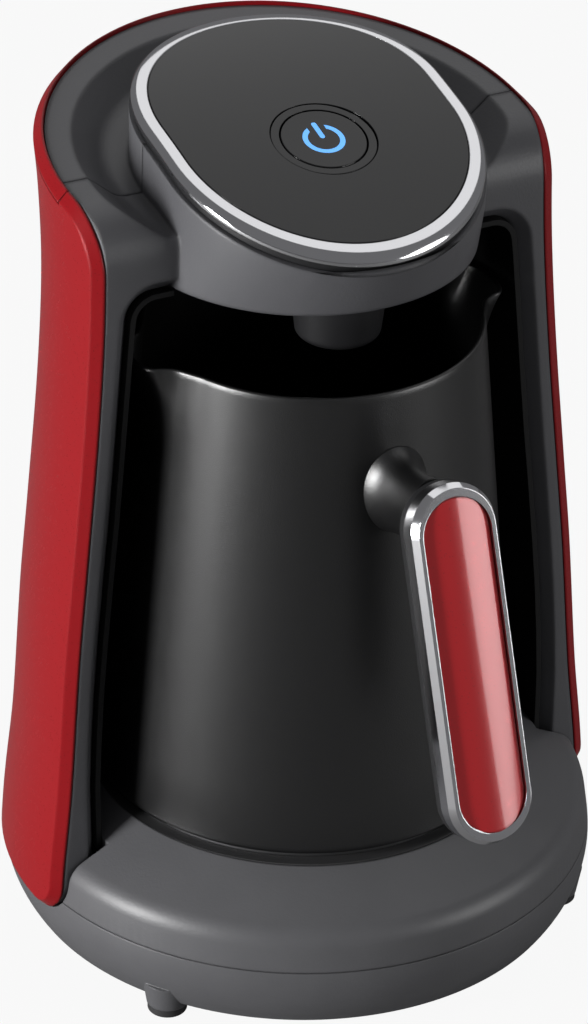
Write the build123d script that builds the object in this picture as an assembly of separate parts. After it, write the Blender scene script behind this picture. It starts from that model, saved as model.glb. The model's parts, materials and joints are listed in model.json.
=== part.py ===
from build123d import *
from math import atan, cos, degrees, radians, sin, sqrt
import os

# Electric coffee maker for one small long-handled pot.
# +Z is up, the feet stand on z = 0, the handle and the open bay face -Y.
# Everything is modelled about the pot's axis, then moved so that the origin
# is the centre of the footprint box. All lengths are millimetres.

# ---------------------------------------------------------------- fits
seam_gap = 0.3            # open line between neighbouring mouldings
slide_gap = 0.4           # between the pot and the plate that it slides over
seat_gap = 0.15           # between a piece and the pocket that locates it

# ---------------------------------------------------------------- base
foot_pad_thickness = 2.4
foot_pad_radius = 5.0
foot_pitch_radius = 68.6
foot_angle = 55.0         # of each foot, from straight ahead or straight back
foot_post_flare = 2.2
base_axis_y = 1.35
base_floor_height = 4.5
base_floor_radius = 70.3
base_bulge_radius = 76.6
base_bulge_height = 11.0
seam_height = 21.6        # joint line between the base tub and its cover
base_radius = 78.1        # at the joint line
base_wall = 2.4
crease_radius = 76.0      # where the side wall turns into the sloping top
crease_height = 31.5
crease_fillet = 7.0
cover_hole_radius = 57.0  # inner edge of the sloping top
cover_slope = 0.51        # fall of the top per unit of radius

# ---------------------------------------------------------------- heating
plate_top = 42.1
plate_radius = 51.0
plate_thickness = 3.2
plate_lip_height = 7.0
plate_lip_width = 2.4
seal_step = 1.2           # top of the seal below the plate
seal_height = 4.0
element_radius = 34.0
element_tube_radius = 3.2
element_gap_angle = 50.0
yoke_width = 14.0
yoke_thickness = 1.6
yoke_post_radius = 4.0
yoke_post_spread = 44.0
thermostat_radius = 8.0
fuse_radius = 2.2
fuse_length = 16.0

# ---------------------------------------------------------------- housing
rim_height = 215.1        # back of the top rim
rim_back_y = 71.6         # where that height is taken
rim_slope = 0.098         # fall of the rim towards the front
housing_foot_radius = 77.9
housing_waist_radius = 63.8
housing_foot_y = -2.7     # centre of the plan circle at the joint line
housing_rim_y = 10.8      # centre of the plan circle at the rim
front_foot_y = -15.2      # front edge of the wings at the joint line
front_rim_y = -6.9        # the same edge carried up to the rim
wing_foot_fillet = 9.0
wing_rim_fillet = 14.0
skin_thickness = 2.7      # coloured outer panels
skin_edge_round = 1.1
housing_wall = 2.4
front_inset = 0.4         # grey moulding behind the coloured edge
back_panel_width = 58.0
rim_band_height = 206.1   # lower edge of the coloured rim band

# ---------------------------------------------------------------- shoulder
crease_circle_radius = 55.2    # inner edge of the flat band inside the rim
shoulder_depth = 6.3
shoulder_floor_radius = 46.5
shoulder_fillet = 7.0
cover_split_y = 13.6      # front frame and rear cover meet on this plane

# ---------------------------------------------------------------- bay
bay_axis_y = -5.4
bay_foot_radius = 66.3
bay_foot_height = 51.8
bay_mid_radius = 61.8
bay_mid_height = 105.8
bay_shoulder_radius = 55.4
bay_shoulder_height = 153.8
bay_dome_radius = 50.4
bay_dome_height = 167.8
bay_top_radius = 41.4
liner_wall = 1.8
liner_recess = 1.0        # front edge of the liner behind the grey front

# ---------------------------------------------------------------- head
head_bottom = 185.1
head_bottom_radius = 42.9
head_bottom_y = 8.1
head_bottom_flat = 2.0
head_lip_height = 199.0   # here the leaning wall turns upright
head_wall = 2.2
lip_width = 0.25          # grey lip outside the ring
ring_radius = 39.9        # ends of the ring's outline
ring_front_y = -0.9       # centres of its two ends
ring_back_y = 12.0
ring_width = 4.2
ring_depth = 4.4
ring_bevel = 1.3
crown_radius = 275.0      # arched top surface, curved front to back only
crown_apex_y = 67.4
crown_apex_height = 224.2
panel_thickness = 2.2
head_floor_thickness = 1.8

# ---------------------------------------------------------------- button
button_y = -2.8
button_radius = 10.5
button_travel = 1.5
button_thickness = 3.0
button_recess = 0.3
bezel_radius = 13.0
button_gap = 0.35
plunger_radius = 2.4
plunger_length = 6.0
light_mark_radius = 5.2
light_mark_width = 1.3
board_thickness = 1.6
board_standoff = 4.0
switch_side = 6.2
switch_height = 3.0
screw_radius = 1.4
screw_head_radius = 2.7
screw_head_height = 1.8

# ---------------------------------------------------------------- sensor
nose_y = -12.6
nose_radius = 12.2
nose_tip_radius = 10.4
nose_clearance = 2.0      # over the pot's rim
nose_edge_round = 2.2
lens_radius = 4.0
lens_thickness = 1.2

# ---------------------------------------------------------------- pot
pot_foot_radius = 54.3
pot_rim_radius = 42.3
pot_height = 122.8
pot_wall = 1.3
pot_foot_fillet = 4.5
pot_disc_thickness = 2.0
pot_disc_radius = 48.0
spout_reach = 48.0        # tip of each spout from the pot's axis
spout_radius = 9.0
spout_drop = 17.0         # how far down the wall the spout starts
spout_root_radius = 2.5

# ---------------------------------------------------------------- handle
handle_mid_y = -85.0      # middle of the inlay's edge plane
handle_mid_height = 113.6
handle_lean = 0.37        # outward run per unit of fall
inlay_length = 81.9
inlay_width = 17.9
inlay_thickness = 2.2
inlay_crown = 1.5
frame_length = 86.4
frame_width = 20.4
frame_back_width = 22.6
frame_proud = 1.2         # frame's front edge over the inlay's edge
frame_depth = 4.6
frame_edge_round = 0.8
grip_depth = 4.4
grip_edge_round = 3.0
neck_height = 140.0       # where the neck's axis meets the pot's wall
neck_width = 13.0
neck_depth = 19.0
neck_flare = 5.0

# ---------------------------------------------------------------- rear
cord_bore_radius = 3.6
cord_bore_height = 15.2
gland_radius = 5.6
gland_flange_radius = 7.6
gland_length = 12.0
control_board_length = 62.0
control_board_width = 30.0
buzzer_radius = 6.0
buzzer_height = 5.5
loom_radius = 2.0

# ---------------------------------------------------------------- small parts
foot_spigot_radius = 2.4
foot_spigot_length = 3.0
cover_screw_front_x = 22.0
cover_screw_front_y = -60.0
cover_screw_rear_x = 52.0
cover_screw_rear_y = 30.0
cover_boss_foot = 20.0
screw_boss_radius = 3.4
screw_seat_height = 8.0
screw_bite = 9.0
board_post_inset = 4.0
board_post_radius = 2.3
control_board_y = 40.0
relay_length = 19.0
relay_width = 15.0
relay_height = 13.0
capacitor_radius = 5.0
capacitor_height = 14.0
gland_flange_thickness = 1.6
gland_set_in = 0.6        # outer end of the gland inside the housing's back
element_tail = 6.0
fuse_y = 20.0
bezel_ledge = 1.2
bezel_drop = 0.35
button_board_x = 13.0
button_board_y = 9.0
button_screw_bite = 5.0
light_mark_depth = 0.6
back_screw_x = 19.0
back_screw_low = 45.0
back_screw_high = 185.0
back_screw_length = 7.0
nose_flange = 1.6
nose_flange_height = 1.2
nose_wall = 1.6
neck_reach = 30.0
neck_rise = 8.0

# ---------------------------------------------------------------- worked out
pot_foot = plate_top + slide_gap
pot_rim = pot_foot + pot_height
plate_bottom = plate_top - plate_thickness
yoke_bottom = plate_bottom - plate_lip_height - yoke_thickness
handle_angle = degrees(atan(handle_lean))
housing_height = rim_height - seam_height
housing_rear_y = housing_rim_y + housing_waist_radius + 0.6
plunger_stop = button_recess + button_thickness + plunger_length + button_travel
far = 400.0               # larger than the whole object, for cutting solids
nodes = {}                # node name to solid


# ---------------------------------------------------------------- helpers
def ground_disc(radius, centre_y, height):
    """Circle of the given radius, lying flat at a height."""
    return Pos(0, centre_y, height) * Circle(radius)


def turned(y, points):
    """Solid of revolution of a closed (radius, height) outline."""
    outline = make_face(Polyline(*points, close=True))
    return Pos(0, y, 0) * revolve(Plane.XZ * outline, axis=Axis.Z)


def tube(outer, inner, bottom, top, x=0.0, y=0.0):
    """Upright ring between two heights."""
    ring = Circle(outer) - Circle(inner)
    return Pos(x, y, bottom) * extrude(ring, top - bottom)


def disc(radius, bottom, top, x=0.0, y=0.0):
    """Upright cylinder between two heights."""
    return Pos(x, y, bottom) * extrude(Circle(radius), top - bottom)


def slab(low, high):
    """Box between two corners."""
    size = [b - a for a, b in zip(low, high)]
    centre = [(a + b) / 2 for a, b in zip(low, high)]
    return Pos(*centre) * Box(*size)


def split(solid, low, high):
    """Part of a solid inside a box."""
    return solid & slab(low, high)


def stadium(radius, front_y, back_y):
    """Flat outline with round ends, long from front to back."""
    length = back_y - front_y + 2 * radius
    return Pos(0, (front_y + back_y) / 2) * SlotOverall(length, 2 * radius, rotation=90)


def below_crown(drop=0.0):
    """Everything under the arched top surface, lowered by a drop."""
    barrel = Rot(0, 90, 0) * Cylinder(crown_radius - drop, far)
    return Pos(0, crown_apex_y, crown_apex_height - crown_radius) * barrel


def crown_height(y, drop=0.0):
    """Height of the arched top surface at a y, less a drop."""
    reach = crown_radius - drop
    return crown_apex_height - crown_radius + sqrt(reach ** 2 - (y - crown_apex_y) ** 2)


def crown_plane(y, drop=0.0):
    """Plane that touches the arched top at a y, looking up out of it."""
    lean = (crown_apex_y - y) / crown_radius
    normal = (0, -lean, sqrt(1 - lean ** 2))
    point = (0, y, crown_height(y))
    return Plane(point, x_dir=(1, 0, 0), z_dir=normal).offset(-drop)


def envelope(inset=0.0):
    """Outer form of the housing: circles that waist in and lean back."""
    flare = housing_foot_radius - housing_waist_radius
    lean = housing_rim_y - housing_foot_y
    stations = [
        (-0.10, 1.04, -0.03), (0.166, 0.80, 0.07), (0.352, 0.60, 0.20), (0.476, 0.42, 0.29),
        (0.662, 0.16, 0.44), (0.807, 0.02, 0.60), (0.921, 0.00, 0.80), (1.0, 0.04, 1.0),
        (1.08, 0.11, 1.2),
    ]
    circles = [
        ground_disc(housing_waist_radius + flare * share - inset,
                    housing_foot_y + lean * shift,
                    seam_height + housing_height * level)
        for level, share, shift in stations
    ]
    return loft(circles)


def arch(inset=0.0, foot=seam_height + seam_gap):
    """Side outline of the wings and the rim, as a slab across the object."""
    rim_at_front = rim_height - rim_slope * (rim_back_y - front_rim_y) - inset
    rim_at_far = rim_height + rim_slope * (far - rim_back_y) - inset
    outline = make_face(Polyline(
        (front_foot_y + inset, foot), (front_rim_y + inset, rim_at_front),
        (far, rim_at_far), (far, foot), close=True))
    front = outline.vertices().sort_by(Axis.X)[0:2].sort_by(Axis.Y)
    outline = fillet(front[0], wing_foot_fillet)
    front = outline.vertices().sort_by(Axis.X).sort_by(Axis.Y)
    rim_corner = [v for v in front if abs(v.X - front_rim_y - inset) < 0.01][0]
    outline = fillet(rim_corner, wing_rim_fillet)
    return extrude(Plane.YZ * outline, far / 2, both=True)


def bay(inset=0.0, bottom=seam_height):
    """Space that the pot stands in: a round bell, open to the front."""
    with BuildSketch() as profile:
        with BuildLine():
            foot = (bay_foot_radius - inset, bay_foot_height)
            shoulder = (bay_shoulder_radius - inset, bay_shoulder_height)
            top = (bay_top_radius - inset, head_bottom - inset * 0.5)
            Line((0, bottom), (foot[0], bottom))
            Line((foot[0], bottom), foot)
            ThreePointArc(foot, (bay_mid_radius - inset, bay_mid_height), shoulder)
            ThreePointArc(shoulder, (bay_dome_radius - inset * 0.8,
                                     bay_dome_height - inset * 0.5), top)
            Line(top, (0, top[1]))
            Line((0, top[1]), (0, bottom))
        make_face()
    return Pos(0, bay_axis_y, 0) * revolve(Plane.XZ * profile.sketch, axis=Axis.Z)


def shoulder_bowl(drop=0.0, spread=0.0):
    """Shallow dish cut into the top, inside the flat band of the rim."""
    floor = -shoulder_depth - drop
    crease = crease_circle_radius + spread
    outline = make_face(Polyline(
        (0, floor), (shoulder_floor_radius + spread, floor), (crease, 0),
        (crease, far / 4), (0, far / 4), close=True))
    hollow = outline.vertices().sort_by_distance((shoulder_floor_radius + spread, floor))[0]
    outline = fillet(hollow, shoulder_fillet + drop)
    dish = revolve(Plane.XZ * outline, axis=Axis.Z)
    height = rim_height - rim_slope * (rim_back_y - housing_rim_y)
    return Pos(0, housing_rim_y, height) * Rot(degrees(atan(rim_slope)), 0, 0) * dish


def head_form(inset, top_drop):
    """The head: upright walls over a leaning skirt, under the arched top."""
    radius = ring_radius + lip_width - inset
    lip = Pos(0, 0, head_lip_height) * stadium(radius, ring_front_y, ring_back_y)
    half_flat = head_bottom_flat / 2
    foot = Pos(0, 0, head_bottom) * stadium(
        head_bottom_radius - inset, head_bottom_y - half_flat, head_bottom_y + half_flat)
    return (extrude(lip, far / 4) + loft([foot, lip])) & below_crown(top_drop)


def grey_moulding():
    """Whole grey shell of the housing: arch, shoulders and head skirt."""
    outer = envelope(skin_thickness + seam_gap) & arch(front_inset)
    outer = outer - shoulder_bowl() + head_form(0, ring_depth)
    wall = housing_wall
    void = envelope(skin_thickness + seam_gap + wall) & arch(front_inset + wall, 0)
    void = void - shoulder_bowl(wall, wall / 2) + head_form(head_wall, ring_depth + head_wall)
    shell = outer - void - bay()
    return shell


def base_form(inset=0.0):
    """Bulging tub: two turned forms, one per plan centre, where they meet."""
    def turned_tub(radius, axis_y):
        shift = radius - base_radius - inset
        floor = base_floor_height + inset
        with BuildSketch() as profile:
            with BuildLine():
                rim = (base_radius + shift, seam_height)
                knee = (base_floor_radius + shift, floor)
                Line((0, floor), knee)
                ThreePointArc(knee, (base_bulge_radius + shift, base_bulge_height), rim)
                Line(rim, (rim[0], far))
                Line((rim[0], far), (0, far))
                Line((0, far), (0, floor))
            make_face()
        return Pos(0, axis_y, 0) * revolve(Plane.XZ * profile.sketch, axis=Axis.Z)
    return turned_tub(base_radius, base_axis_y) & turned_tub(housing_foot_radius, housing_foot_y)


def foot_spots():
    """Plan places of the four feet, front pair first."""
    side = foot_pitch_radius * sin(radians(foot_angle))
    reach = foot_pitch_radius * cos(radians(foot_angle))
    return {
        "front_left": (-side, base_axis_y - reach), "front_right": (side, base_axis_y - reach),
        "rear_left": (-side, base_axis_y + reach), "rear_right": (side, base_axis_y + reach),
    }


def base_screw_spots():
    """Plan places of the screws that join the tub and its cover."""
    return [(-cover_screw_front_x, cover_screw_front_y), (cover_screw_front_x, cover_screw_front_y),
            (-cover_screw_rear_x, cover_screw_rear_y), (cover_screw_rear_x, cover_screw_rear_y)]


def board_spots():
    """Corners of the control board, where its posts stand."""
    half = control_board_length / 2 - board_post_inset
    return [(side * half, control_board_y + end * (control_board_width / 2 - board_post_inset))
            for side in (-1, 1) for end in (-1, 1)]


def base_tub():
    """Lower moulding: bulging wall, foot posts, board posts and screw posts."""
    tub = split(base_form() - base_form(base_wall), (-far, -far, 0), (far, far, seam_height))
    floor_top = base_floor_height + base_wall
    for x, y in foot_spots().values():
        post_height = base_bulge_height - foot_pad_thickness
        post = Cone(foot_pad_radius + lip_width, foot_pad_radius + foot_post_flare, post_height)
        tub += Pos(x, y, foot_pad_thickness + post_height / 2) * post
    for x in (-yoke_post_spread, yoke_post_spread):
        tub += disc(yoke_post_radius, floor_top, yoke_bottom, x)
    for x, y in board_spots():
        tub += disc(board_post_radius, floor_top, floor_top + board_standoff, x, y)
    for x, y in base_screw_spots():
        tub += disc(screw_boss_radius, floor_top, cover_boss_foot - seat_gap, x, y)
        tub -= disc(screw_radius + seat_gap, 0, cover_boss_foot, x, y)
        tub -= disc(screw_head_radius + seat_gap, 0, screw_seat_height, x, y)
    for x, y in foot_spots().values():
        tub -= disc(foot_spigot_radius + seat_gap, 0,
                    foot_pad_thickness + foot_spigot_length + seat_gap, x, y)
    gland_hole = Pos(0, housing_rear_y, cord_bore_height) * Rot(90, 0, 0) \
        * Cylinder(gland_radius + seat_gap, 2 * gland_length)
    return tub - gland_hole


def base_cover():
    """Upper moulding of the base: sloping top, soft crease, upright side."""
    foot = seam_height + seam_gap

    def form(inset):
        hole_edge = crease_height + cover_slope * (crease_radius - cover_hole_radius) - inset
        inner = cover_hole_radius / 2
        outline = make_face(Polyline(
            (inner, foot), (base_radius - inset, foot),
            (crease_radius - inset, crease_height - inset),
            (cover_hole_radius, hole_edge), (inner, hole_edge), close=True))
        crease = outline.vertices().filter_by_position(
            Axis.X, crease_radius - inset - 0.01, crease_radius - inset + 0.01)
        outline = fillet(crease, crease_fillet - inset)
        return Pos(0, base_axis_y, 0) * revolve(Plane.XZ * outline, axis=Axis.Z)

    cover = form(0) - form(base_wall)
    for x, y in base_screw_spots():
        boss_top = crease_height + cover_slope * (crease_radius - sqrt(x * x + y * y)) - base_wall
        cover += disc(screw_boss_radius, cover_boss_foot, boss_top, x, y)
        cover -= disc(screw_radius + seat_gap / 3, 0, cover_boss_foot + screw_bite, x, y)
    cover -= disc(cover_hole_radius, 0, far)
    cover = cover & base_form()
    wings = arch(-seam_gap, seam_height) - bay(liner_wall + 2 * seam_gap, 0)
    return cover - wings


def base_pieces():
    """Tub, cover, feet, screws, gland and the electronics in the base."""
    floor_top = base_floor_height + base_wall
    nodes["base_tub"] = base_tub()
    nodes["base_cover"] = base_cover()
    for name, (x, y) in foot_spots().items():
        pad = disc(foot_pad_radius, 0, foot_pad_thickness, x, y)
        pad = fillet(pad.edges().group_by(Axis.Z)[0], foot_pad_thickness / 4)
        spigot_top = foot_pad_thickness + foot_spigot_length
        nodes["foot_" + name] = pad + disc(foot_spigot_radius, foot_pad_thickness / 2,
                                           spigot_top, x, y)
    screws = []
    for x, y in base_screw_spots():
        shank_top = cover_boss_foot + screw_bite - seat_gap
        head = disc(screw_head_radius, screw_seat_height - screw_head_height,
                    screw_seat_height, x, y)
        screws.append(head + disc(screw_radius, screw_seat_height, shank_top, x, y))
    nodes["base_screws"] = Compound(children=screws)
    gland = tube(gland_radius, cord_bore_radius, 0, gland_length)
    gland += tube(gland_flange_radius, cord_bore_radius, 0, gland_flange_thickness)
    nodes["cord_gland"] = Pos(0, housing_rear_y - gland_length - gland_set_in, cord_bore_height) \
        * Rot(-90, 0, 0) * gland
    board_foot = floor_top + board_standoff
    board_top = board_foot + board_thickness
    board = slab((-control_board_length / 2, control_board_y - control_board_width / 2, board_foot),
                 (control_board_length / 2, control_board_y + control_board_width / 2, board_top))
    nodes["control_board"] = board
    relay_x = -control_board_length / 4
    nodes["power_relay"] = slab(
        (relay_x - relay_length / 2, control_board_y - relay_width / 2, board_top),
        (relay_x + relay_length / 2, control_board_y + relay_width / 2, board_top + relay_height))
    nodes["buzzer"] = disc(buzzer_radius, board_top, board_top + buzzer_height,
                           control_board_length / 3, control_board_y)
    nodes["smoothing_capacitor"] = disc(capacitor_radius, board_top, board_top + capacitor_height,
                                        control_board_length / 12, control_board_y)


def heating_pieces():
    """Plate that the pot stands on, its seal, element, yoke and cut-outs."""
    plate = disc(plate_radius, plate_bottom, plate_top)
    plate = fillet(plate.edges().group_by(Axis.Z)[-1], seat_gap * 4)
    plate += tube(plate_radius, plate_radius - plate_lip_width,
                  plate_bottom - plate_lip_height, plate_bottom)
    nodes["hot_plate"] = plate
    seal_top = plate_top - seal_step
    nodes["plate_seal"] = tube(cover_hole_radius - seat_gap, plate_radius + seat_gap,
                               seal_top - seal_height, seal_top)
    axis_height = plate_bottom - element_tube_radius - seat_gap
    sweep_angle = 360 - element_gap_angle
    section = Plane.XZ * (Pos(element_radius, axis_height) * Circle(element_tube_radius))
    element = revolve(section, axis=Axis.Z, revolution_arc=sweep_angle)
    for angle in (0, sweep_angle):
        x = element_radius * cos(radians(angle))
        y = element_radius * sin(radians(angle))
        element += disc(element_tube_radius * 0.6, axis_height - element_tail, axis_height, x, y)
    nodes["heating_element"] = Rot(0, 0, 90 + element_gap_angle / 2) * element
    yoke = slab((-plate_radius, -yoke_width / 2, yoke_bottom),
                (plate_radius, yoke_width / 2, yoke_bottom + yoke_thickness))
    nodes["element_yoke"] = yoke
    thermostat_foot = yoke_bottom + yoke_thickness
    nodes["thermostat"] = disc(thermostat_radius, thermostat_foot, plate_bottom - seat_gap)
    fuse = Rot(0, 90, 0) * Cylinder(fuse_radius, fuse_length)
    nodes["thermal_fuse"] = Pos(0, fuse_y, plate_bottom - fuse_radius - seat_gap) * fuse


def rear_reach(height):
    """Distance of the housing's back face behind the pot's axis at a height."""
    level = (height - seam_height) / housing_height
    rise = max(0.0, min(1.0, level))
    lean = (housing_rim_y - housing_foot_y) * rise ** 1.4
    flare = (housing_foot_radius - housing_waist_radius) * max(0.0, 1 - rise / 0.8) ** 1.1
    return housing_foot_y + lean + housing_waist_radius + flare


def housing_pieces():
    """Grey frame and cover, black liner and the coloured outer panels."""
    moulding = grey_moulding()
    edge = seam_gap / 2
    frame = split(moulding, (-far, -far, -far), (far, cover_split_y - edge, far))
    cover = split(moulding, (-far, cover_split_y + edge, -far), (far, far, far))
    hole = crown_plane(button_y, ring_depth + head_wall)
    frame -= extrude(hole * Circle(bezel_radius - bezel_ledge), head_wall * 3, both=True)
    board_back = crown_plane(button_y, plunger_stop + switch_height + seat_gap)
    plate_under = ring_depth + head_wall / 2
    for x, y in button_board_spots():
        post = board_back * (Pos(x, y) * Circle(board_post_radius))
        frame += extrude(post, plunger_stop + switch_height + seat_gap - plate_under)
        bore = board_back * (Pos(x, y) * Circle(screw_radius + seat_gap / 3))
        frame -= extrude(bore, button_screw_bite)
    nodes["front_frame"] = frame
    nodes["rear_cover"] = cover

    liner = bay(seat_gap, seam_height + 2 * seam_gap) - bay(seat_gap + liner_wall, 0)
    liner = liner & arch(front_inset + liner_recess, 0)
    nose_hole = disc(nose_radius + nose_flange + seat_gap, head_bottom - far / 10,
                     head_bottom + 1, 0, nose_y)
    nodes["bay_liner"] = liner - nose_hole

    dressed = envelope() & arch()
    rim_edges = dressed.edges().filter_by(lambda e: e.center().Z > seam_height + 2 * seam_gap)
    dressed = fillet(rim_edges, skin_edge_round)
    skin = dressed - envelope(skin_thickness)
    half = back_panel_width / 2
    nodes["rim_band"] = split(skin, (-far, -far, rim_band_height + edge), (far, far, far))
    sides = split(skin, (-far, -far, 0), (far, far, rim_band_height - edge))
    back = split(sides, (-half + edge, 0, 0), (half - edge, far, far))
    sides -= slab((-half - edge, 0, 0), (half + edge, far, far))
    screws = []
    for x in (-back_screw_x, back_screw_x):
        for height in (back_screw_low, back_screw_high):
            reach = sqrt(rear_reach(height) ** 2 - x * x)
            bore = Pos(x, reach, height) * Rot(90, 0, 0)
            seat = skin_thickness * 0.6
            back -= bore * Cylinder(screw_head_radius + seat_gap, 2 * seat)
            back -= bore * Cylinder(screw_radius + seat_gap, far / 10)
            nodes["rear_cover"] -= bore * Cylinder(screw_radius + seat_gap / 3, far / 10)
            head = bore * (Pos(0, 0, seat - screw_head_height / 2)
                           * Cylinder(screw_head_radius, screw_head_height))
            shank = bore * (Pos(0, 0, seat + back_screw_length / 2)
                            * Cylinder(screw_radius, back_screw_length))
            screws.append(head + shank)
    nodes["left_side_panel"] = split(sides, (-far, -far, 0), (0, far, far))
    nodes["right_side_panel"] = split(sides, (0, -far, 0), (far, far, far))
    nodes["back_panel"] = back
    nodes["back_screws"] = Compound(children=screws)


def button_board_spots():
    """Places of the button board's posts, in the plane of the board."""
    return [(side * button_board_x, end * button_board_y) for side in (-1, 1) for end in (-1, 1)]


def head_pieces():
    """Ring, panel, bezel, button, its board, and the sensor under the head."""
    inner = ring_radius - ring_width
    outline = stadium(ring_radius, ring_front_y, ring_back_y)
    opening = stadium(inner, ring_front_y, ring_back_y)
    base_z = head_lip_height - ring_depth * 2
    column = extrude(Pos(0, 0, base_z) * outline, far / 4)
    core = extrude(Pos(0, 0, base_z) * opening, far / 4)
    ring = (column & below_crown()) - below_crown(ring_depth)
    middle = (0, (ring_front_y + ring_back_y) / 2, 0)
    outer_edges = ring.faces().filter_by(GeomType.CYLINDER).sort_by_distance(
        (0, middle[1], crown_height(middle[1])))[0].edges()
    ring = chamfer(outer_edges, ring_bevel)
    nodes["chrome_ring"] = ring - core
    panel_outline = stadium(inner - seat_gap, ring_front_y, ring_back_y)
    slug = extrude(Pos(0, 0, base_z) * panel_outline, far / 4)
    bezel_plane = crown_plane(button_y)
    bezel_hole = extrude(bezel_plane * Circle(bezel_radius + seat_gap), far / 10, both=True)
    panel = (slug & below_crown()) - below_crown(panel_thickness) - bezel_hole
    carrier = (slug & below_crown(panel_thickness)) - below_crown(ring_depth) - bezel_hole
    nodes["control_panel"] = panel
    nodes["panel_carrier"] = carrier
    bezel = extrude(bezel_plane.offset(-ring_depth) * Circle(bezel_radius),
                    ring_depth - bezel_drop)
    bezel_top = bezel.edges().filter_by(GeomType.CIRCLE).sort_by(Axis.Z)[-1]
    bezel = fillet(bezel_top, bezel_drop)
    well = extrude(bezel_plane * Circle(button_radius + button_gap), far / 10, both=True)
    nodes["button_bezel"] = bezel - well

    button = extrude(bezel_plane.offset(-button_recess - button_thickness)
                     * Circle(button_radius), button_thickness)
    button = fillet(button.edges().filter_by(GeomType.CIRCLE).sort_by(Axis.Z)[-1], button_gap)
    plunger_tip = button_recess + button_thickness + plunger_length
    button += extrude(bezel_plane.offset(-plunger_tip) * Circle(plunger_radius), plunger_length)
    mark_ring = Circle(light_mark_radius) - Circle(light_mark_radius - light_mark_width)
    gap_width = 3.4 * light_mark_width
    mark_ring -= Pos(0, light_mark_radius) * Rectangle(gap_width, light_mark_radius * 1.3)
    bar = Pos(0, light_mark_radius * 0.62) * SlotOverall(
        light_mark_radius * 1.15, light_mark_width, rotation=90)
    mark = extrude(bezel_plane.offset(-button_recess - light_mark_depth) * (mark_ring + bar),
                   light_mark_depth)
    nodes["power_button"] = button - mark
    nodes["power_symbol"] = mark

    board_back = bezel_plane.offset(-plunger_stop - switch_height - seat_gap)
    board = extrude(board_back * Rectangle(2 * button_board_x + 3 * board_post_radius,
                                           2 * button_board_y + 3 * board_post_radius),
                    -board_thickness)
    bolts = []
    for x, y in button_board_spots():
        board -= extrude(board_back * (Pos(x, y) * Circle(screw_radius + seat_gap)),
                         -board_thickness)
        head = extrude(board_back.offset(-board_thickness) * (Pos(x, y)
                       * Circle(screw_head_radius)), -screw_head_height)
        shank = extrude(board_back.offset(-board_thickness) * (Pos(x, y) * Circle(screw_radius)),
                        board_thickness + button_screw_bite - seat_gap)
        bolts.append(head + shank)
    nodes["button_board"] = board
    nodes["button_board_screws"] = Compound(children=bolts)
    nodes["button_switch"] = extrude(board_back * Rectangle(switch_side, switch_side),
                                     switch_height)

    floor_bottom = head_bottom + seat_gap
    plug = head_form(head_wall + seat_gap, ring_depth + head_wall)
    floor = split(plug, (-far, -far, floor_bottom), (far, far, floor_bottom + head_floor_thickness))
    nose_top = floor_bottom + head_floor_thickness
    floor -= disc(nose_radius + seat_gap, 0, far, 0, nose_y)
    nodes["head_floor"] = floor
    nose_bottom = pot_rim + nose_clearance
    nose_profile = [(0, nose_bottom), (nose_tip_radius, nose_bottom), (nose_radius, head_bottom - 1),
                    (nose_radius, nose_top), (0, nose_top)]
    nose = turned(nose_y, nose_profile)
    nose = fillet(nose.edges().filter_by(GeomType.CIRCLE).sort_by(Axis.Z)[0], nose_edge_round)
    cavity_profile = [(0, nose_bottom + nose_wall), (nose_tip_radius - nose_wall,
                      nose_bottom + nose_wall), (nose_radius - nose_wall, head_bottom - 1),
                      (nose_radius - nose_wall, far), (0, far)]
    nose -= turned(nose_y, cavity_profile)
    nose += tube(nose_radius + nose_flange, nose_radius - nose_wall, nose_top,
                 nose_top + nose_flange_height, 0, nose_y)
    lens_hole = disc(lens_radius + seat_gap, 0, nose_bottom + nose_wall + 1, 0, nose_y)
    nodes["sensor_nose"] = nose - lens_hole
    lens = disc(lens_radius, nose_bottom, nose_bottom + lens_thickness, 0, nose_y)
    lens += disc(lens_radius + 1, nose_bottom + nose_wall, nose_bottom + nose_wall
                 + lens_thickness, 0, nose_y)
    lens += disc(lens_radius, nose_bottom, nose_bottom + nose_wall, 0, nose_y)
    nodes["sensor_lens"] = lens
    board_foot = nose_bottom + nose_wall + lens_thickness + seat_gap
    nodes["sensor_board"] = disc(nose_tip_radius - nose_wall - seat_gap, board_foot,
                                 board_foot + board_thickness, 0, nose_y)


def pot_form(inset, foot):
    """Tapered pot with a poured-out spout on each side."""
    rim = pot_rim + inset
    slope = (pot_foot_radius - pot_rim_radius) / pot_height
    body = turned(0, [(0, foot), (pot_foot_radius - inset, foot),
                      (pot_rim_radius - inset * (1 + slope), rim), (0, rim)])
    body = fillet(body.edges().group_by(Axis.Z)[0], pot_foot_fillet - inset)
    root_x = pot_rim_radius + slope * spout_drop - spout_root_radius
    tip_x = spout_reach - spout_radius
    for side in (-1, 1):
        root = Pos(side * root_x, 0, pot_rim - spout_drop) * Circle(spout_root_radius - inset / 2)
        tip = Pos(side * tip_x, 0, pot_rim) * Circle(spout_radius - inset)
        body += loft([root, tip])
        if inset:
            body += extrude(tip, inset)
    return body


def handle_plane(offset=0.0):
    """Plane of the inlay's edge, leaning out towards its foot."""
    angle = radians(handle_angle)
    plane = Plane((0, handle_mid_y, handle_mid_height), x_dir=(1, 0, 0),
                  z_dir=(0, -cos(angle), sin(angle)))
    return plane.offset(offset)


def capsule(length, width):
    """Upright outline with round ends, in the handle's plane."""
    return SlotOverall(length, width, rotation=90)


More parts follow.
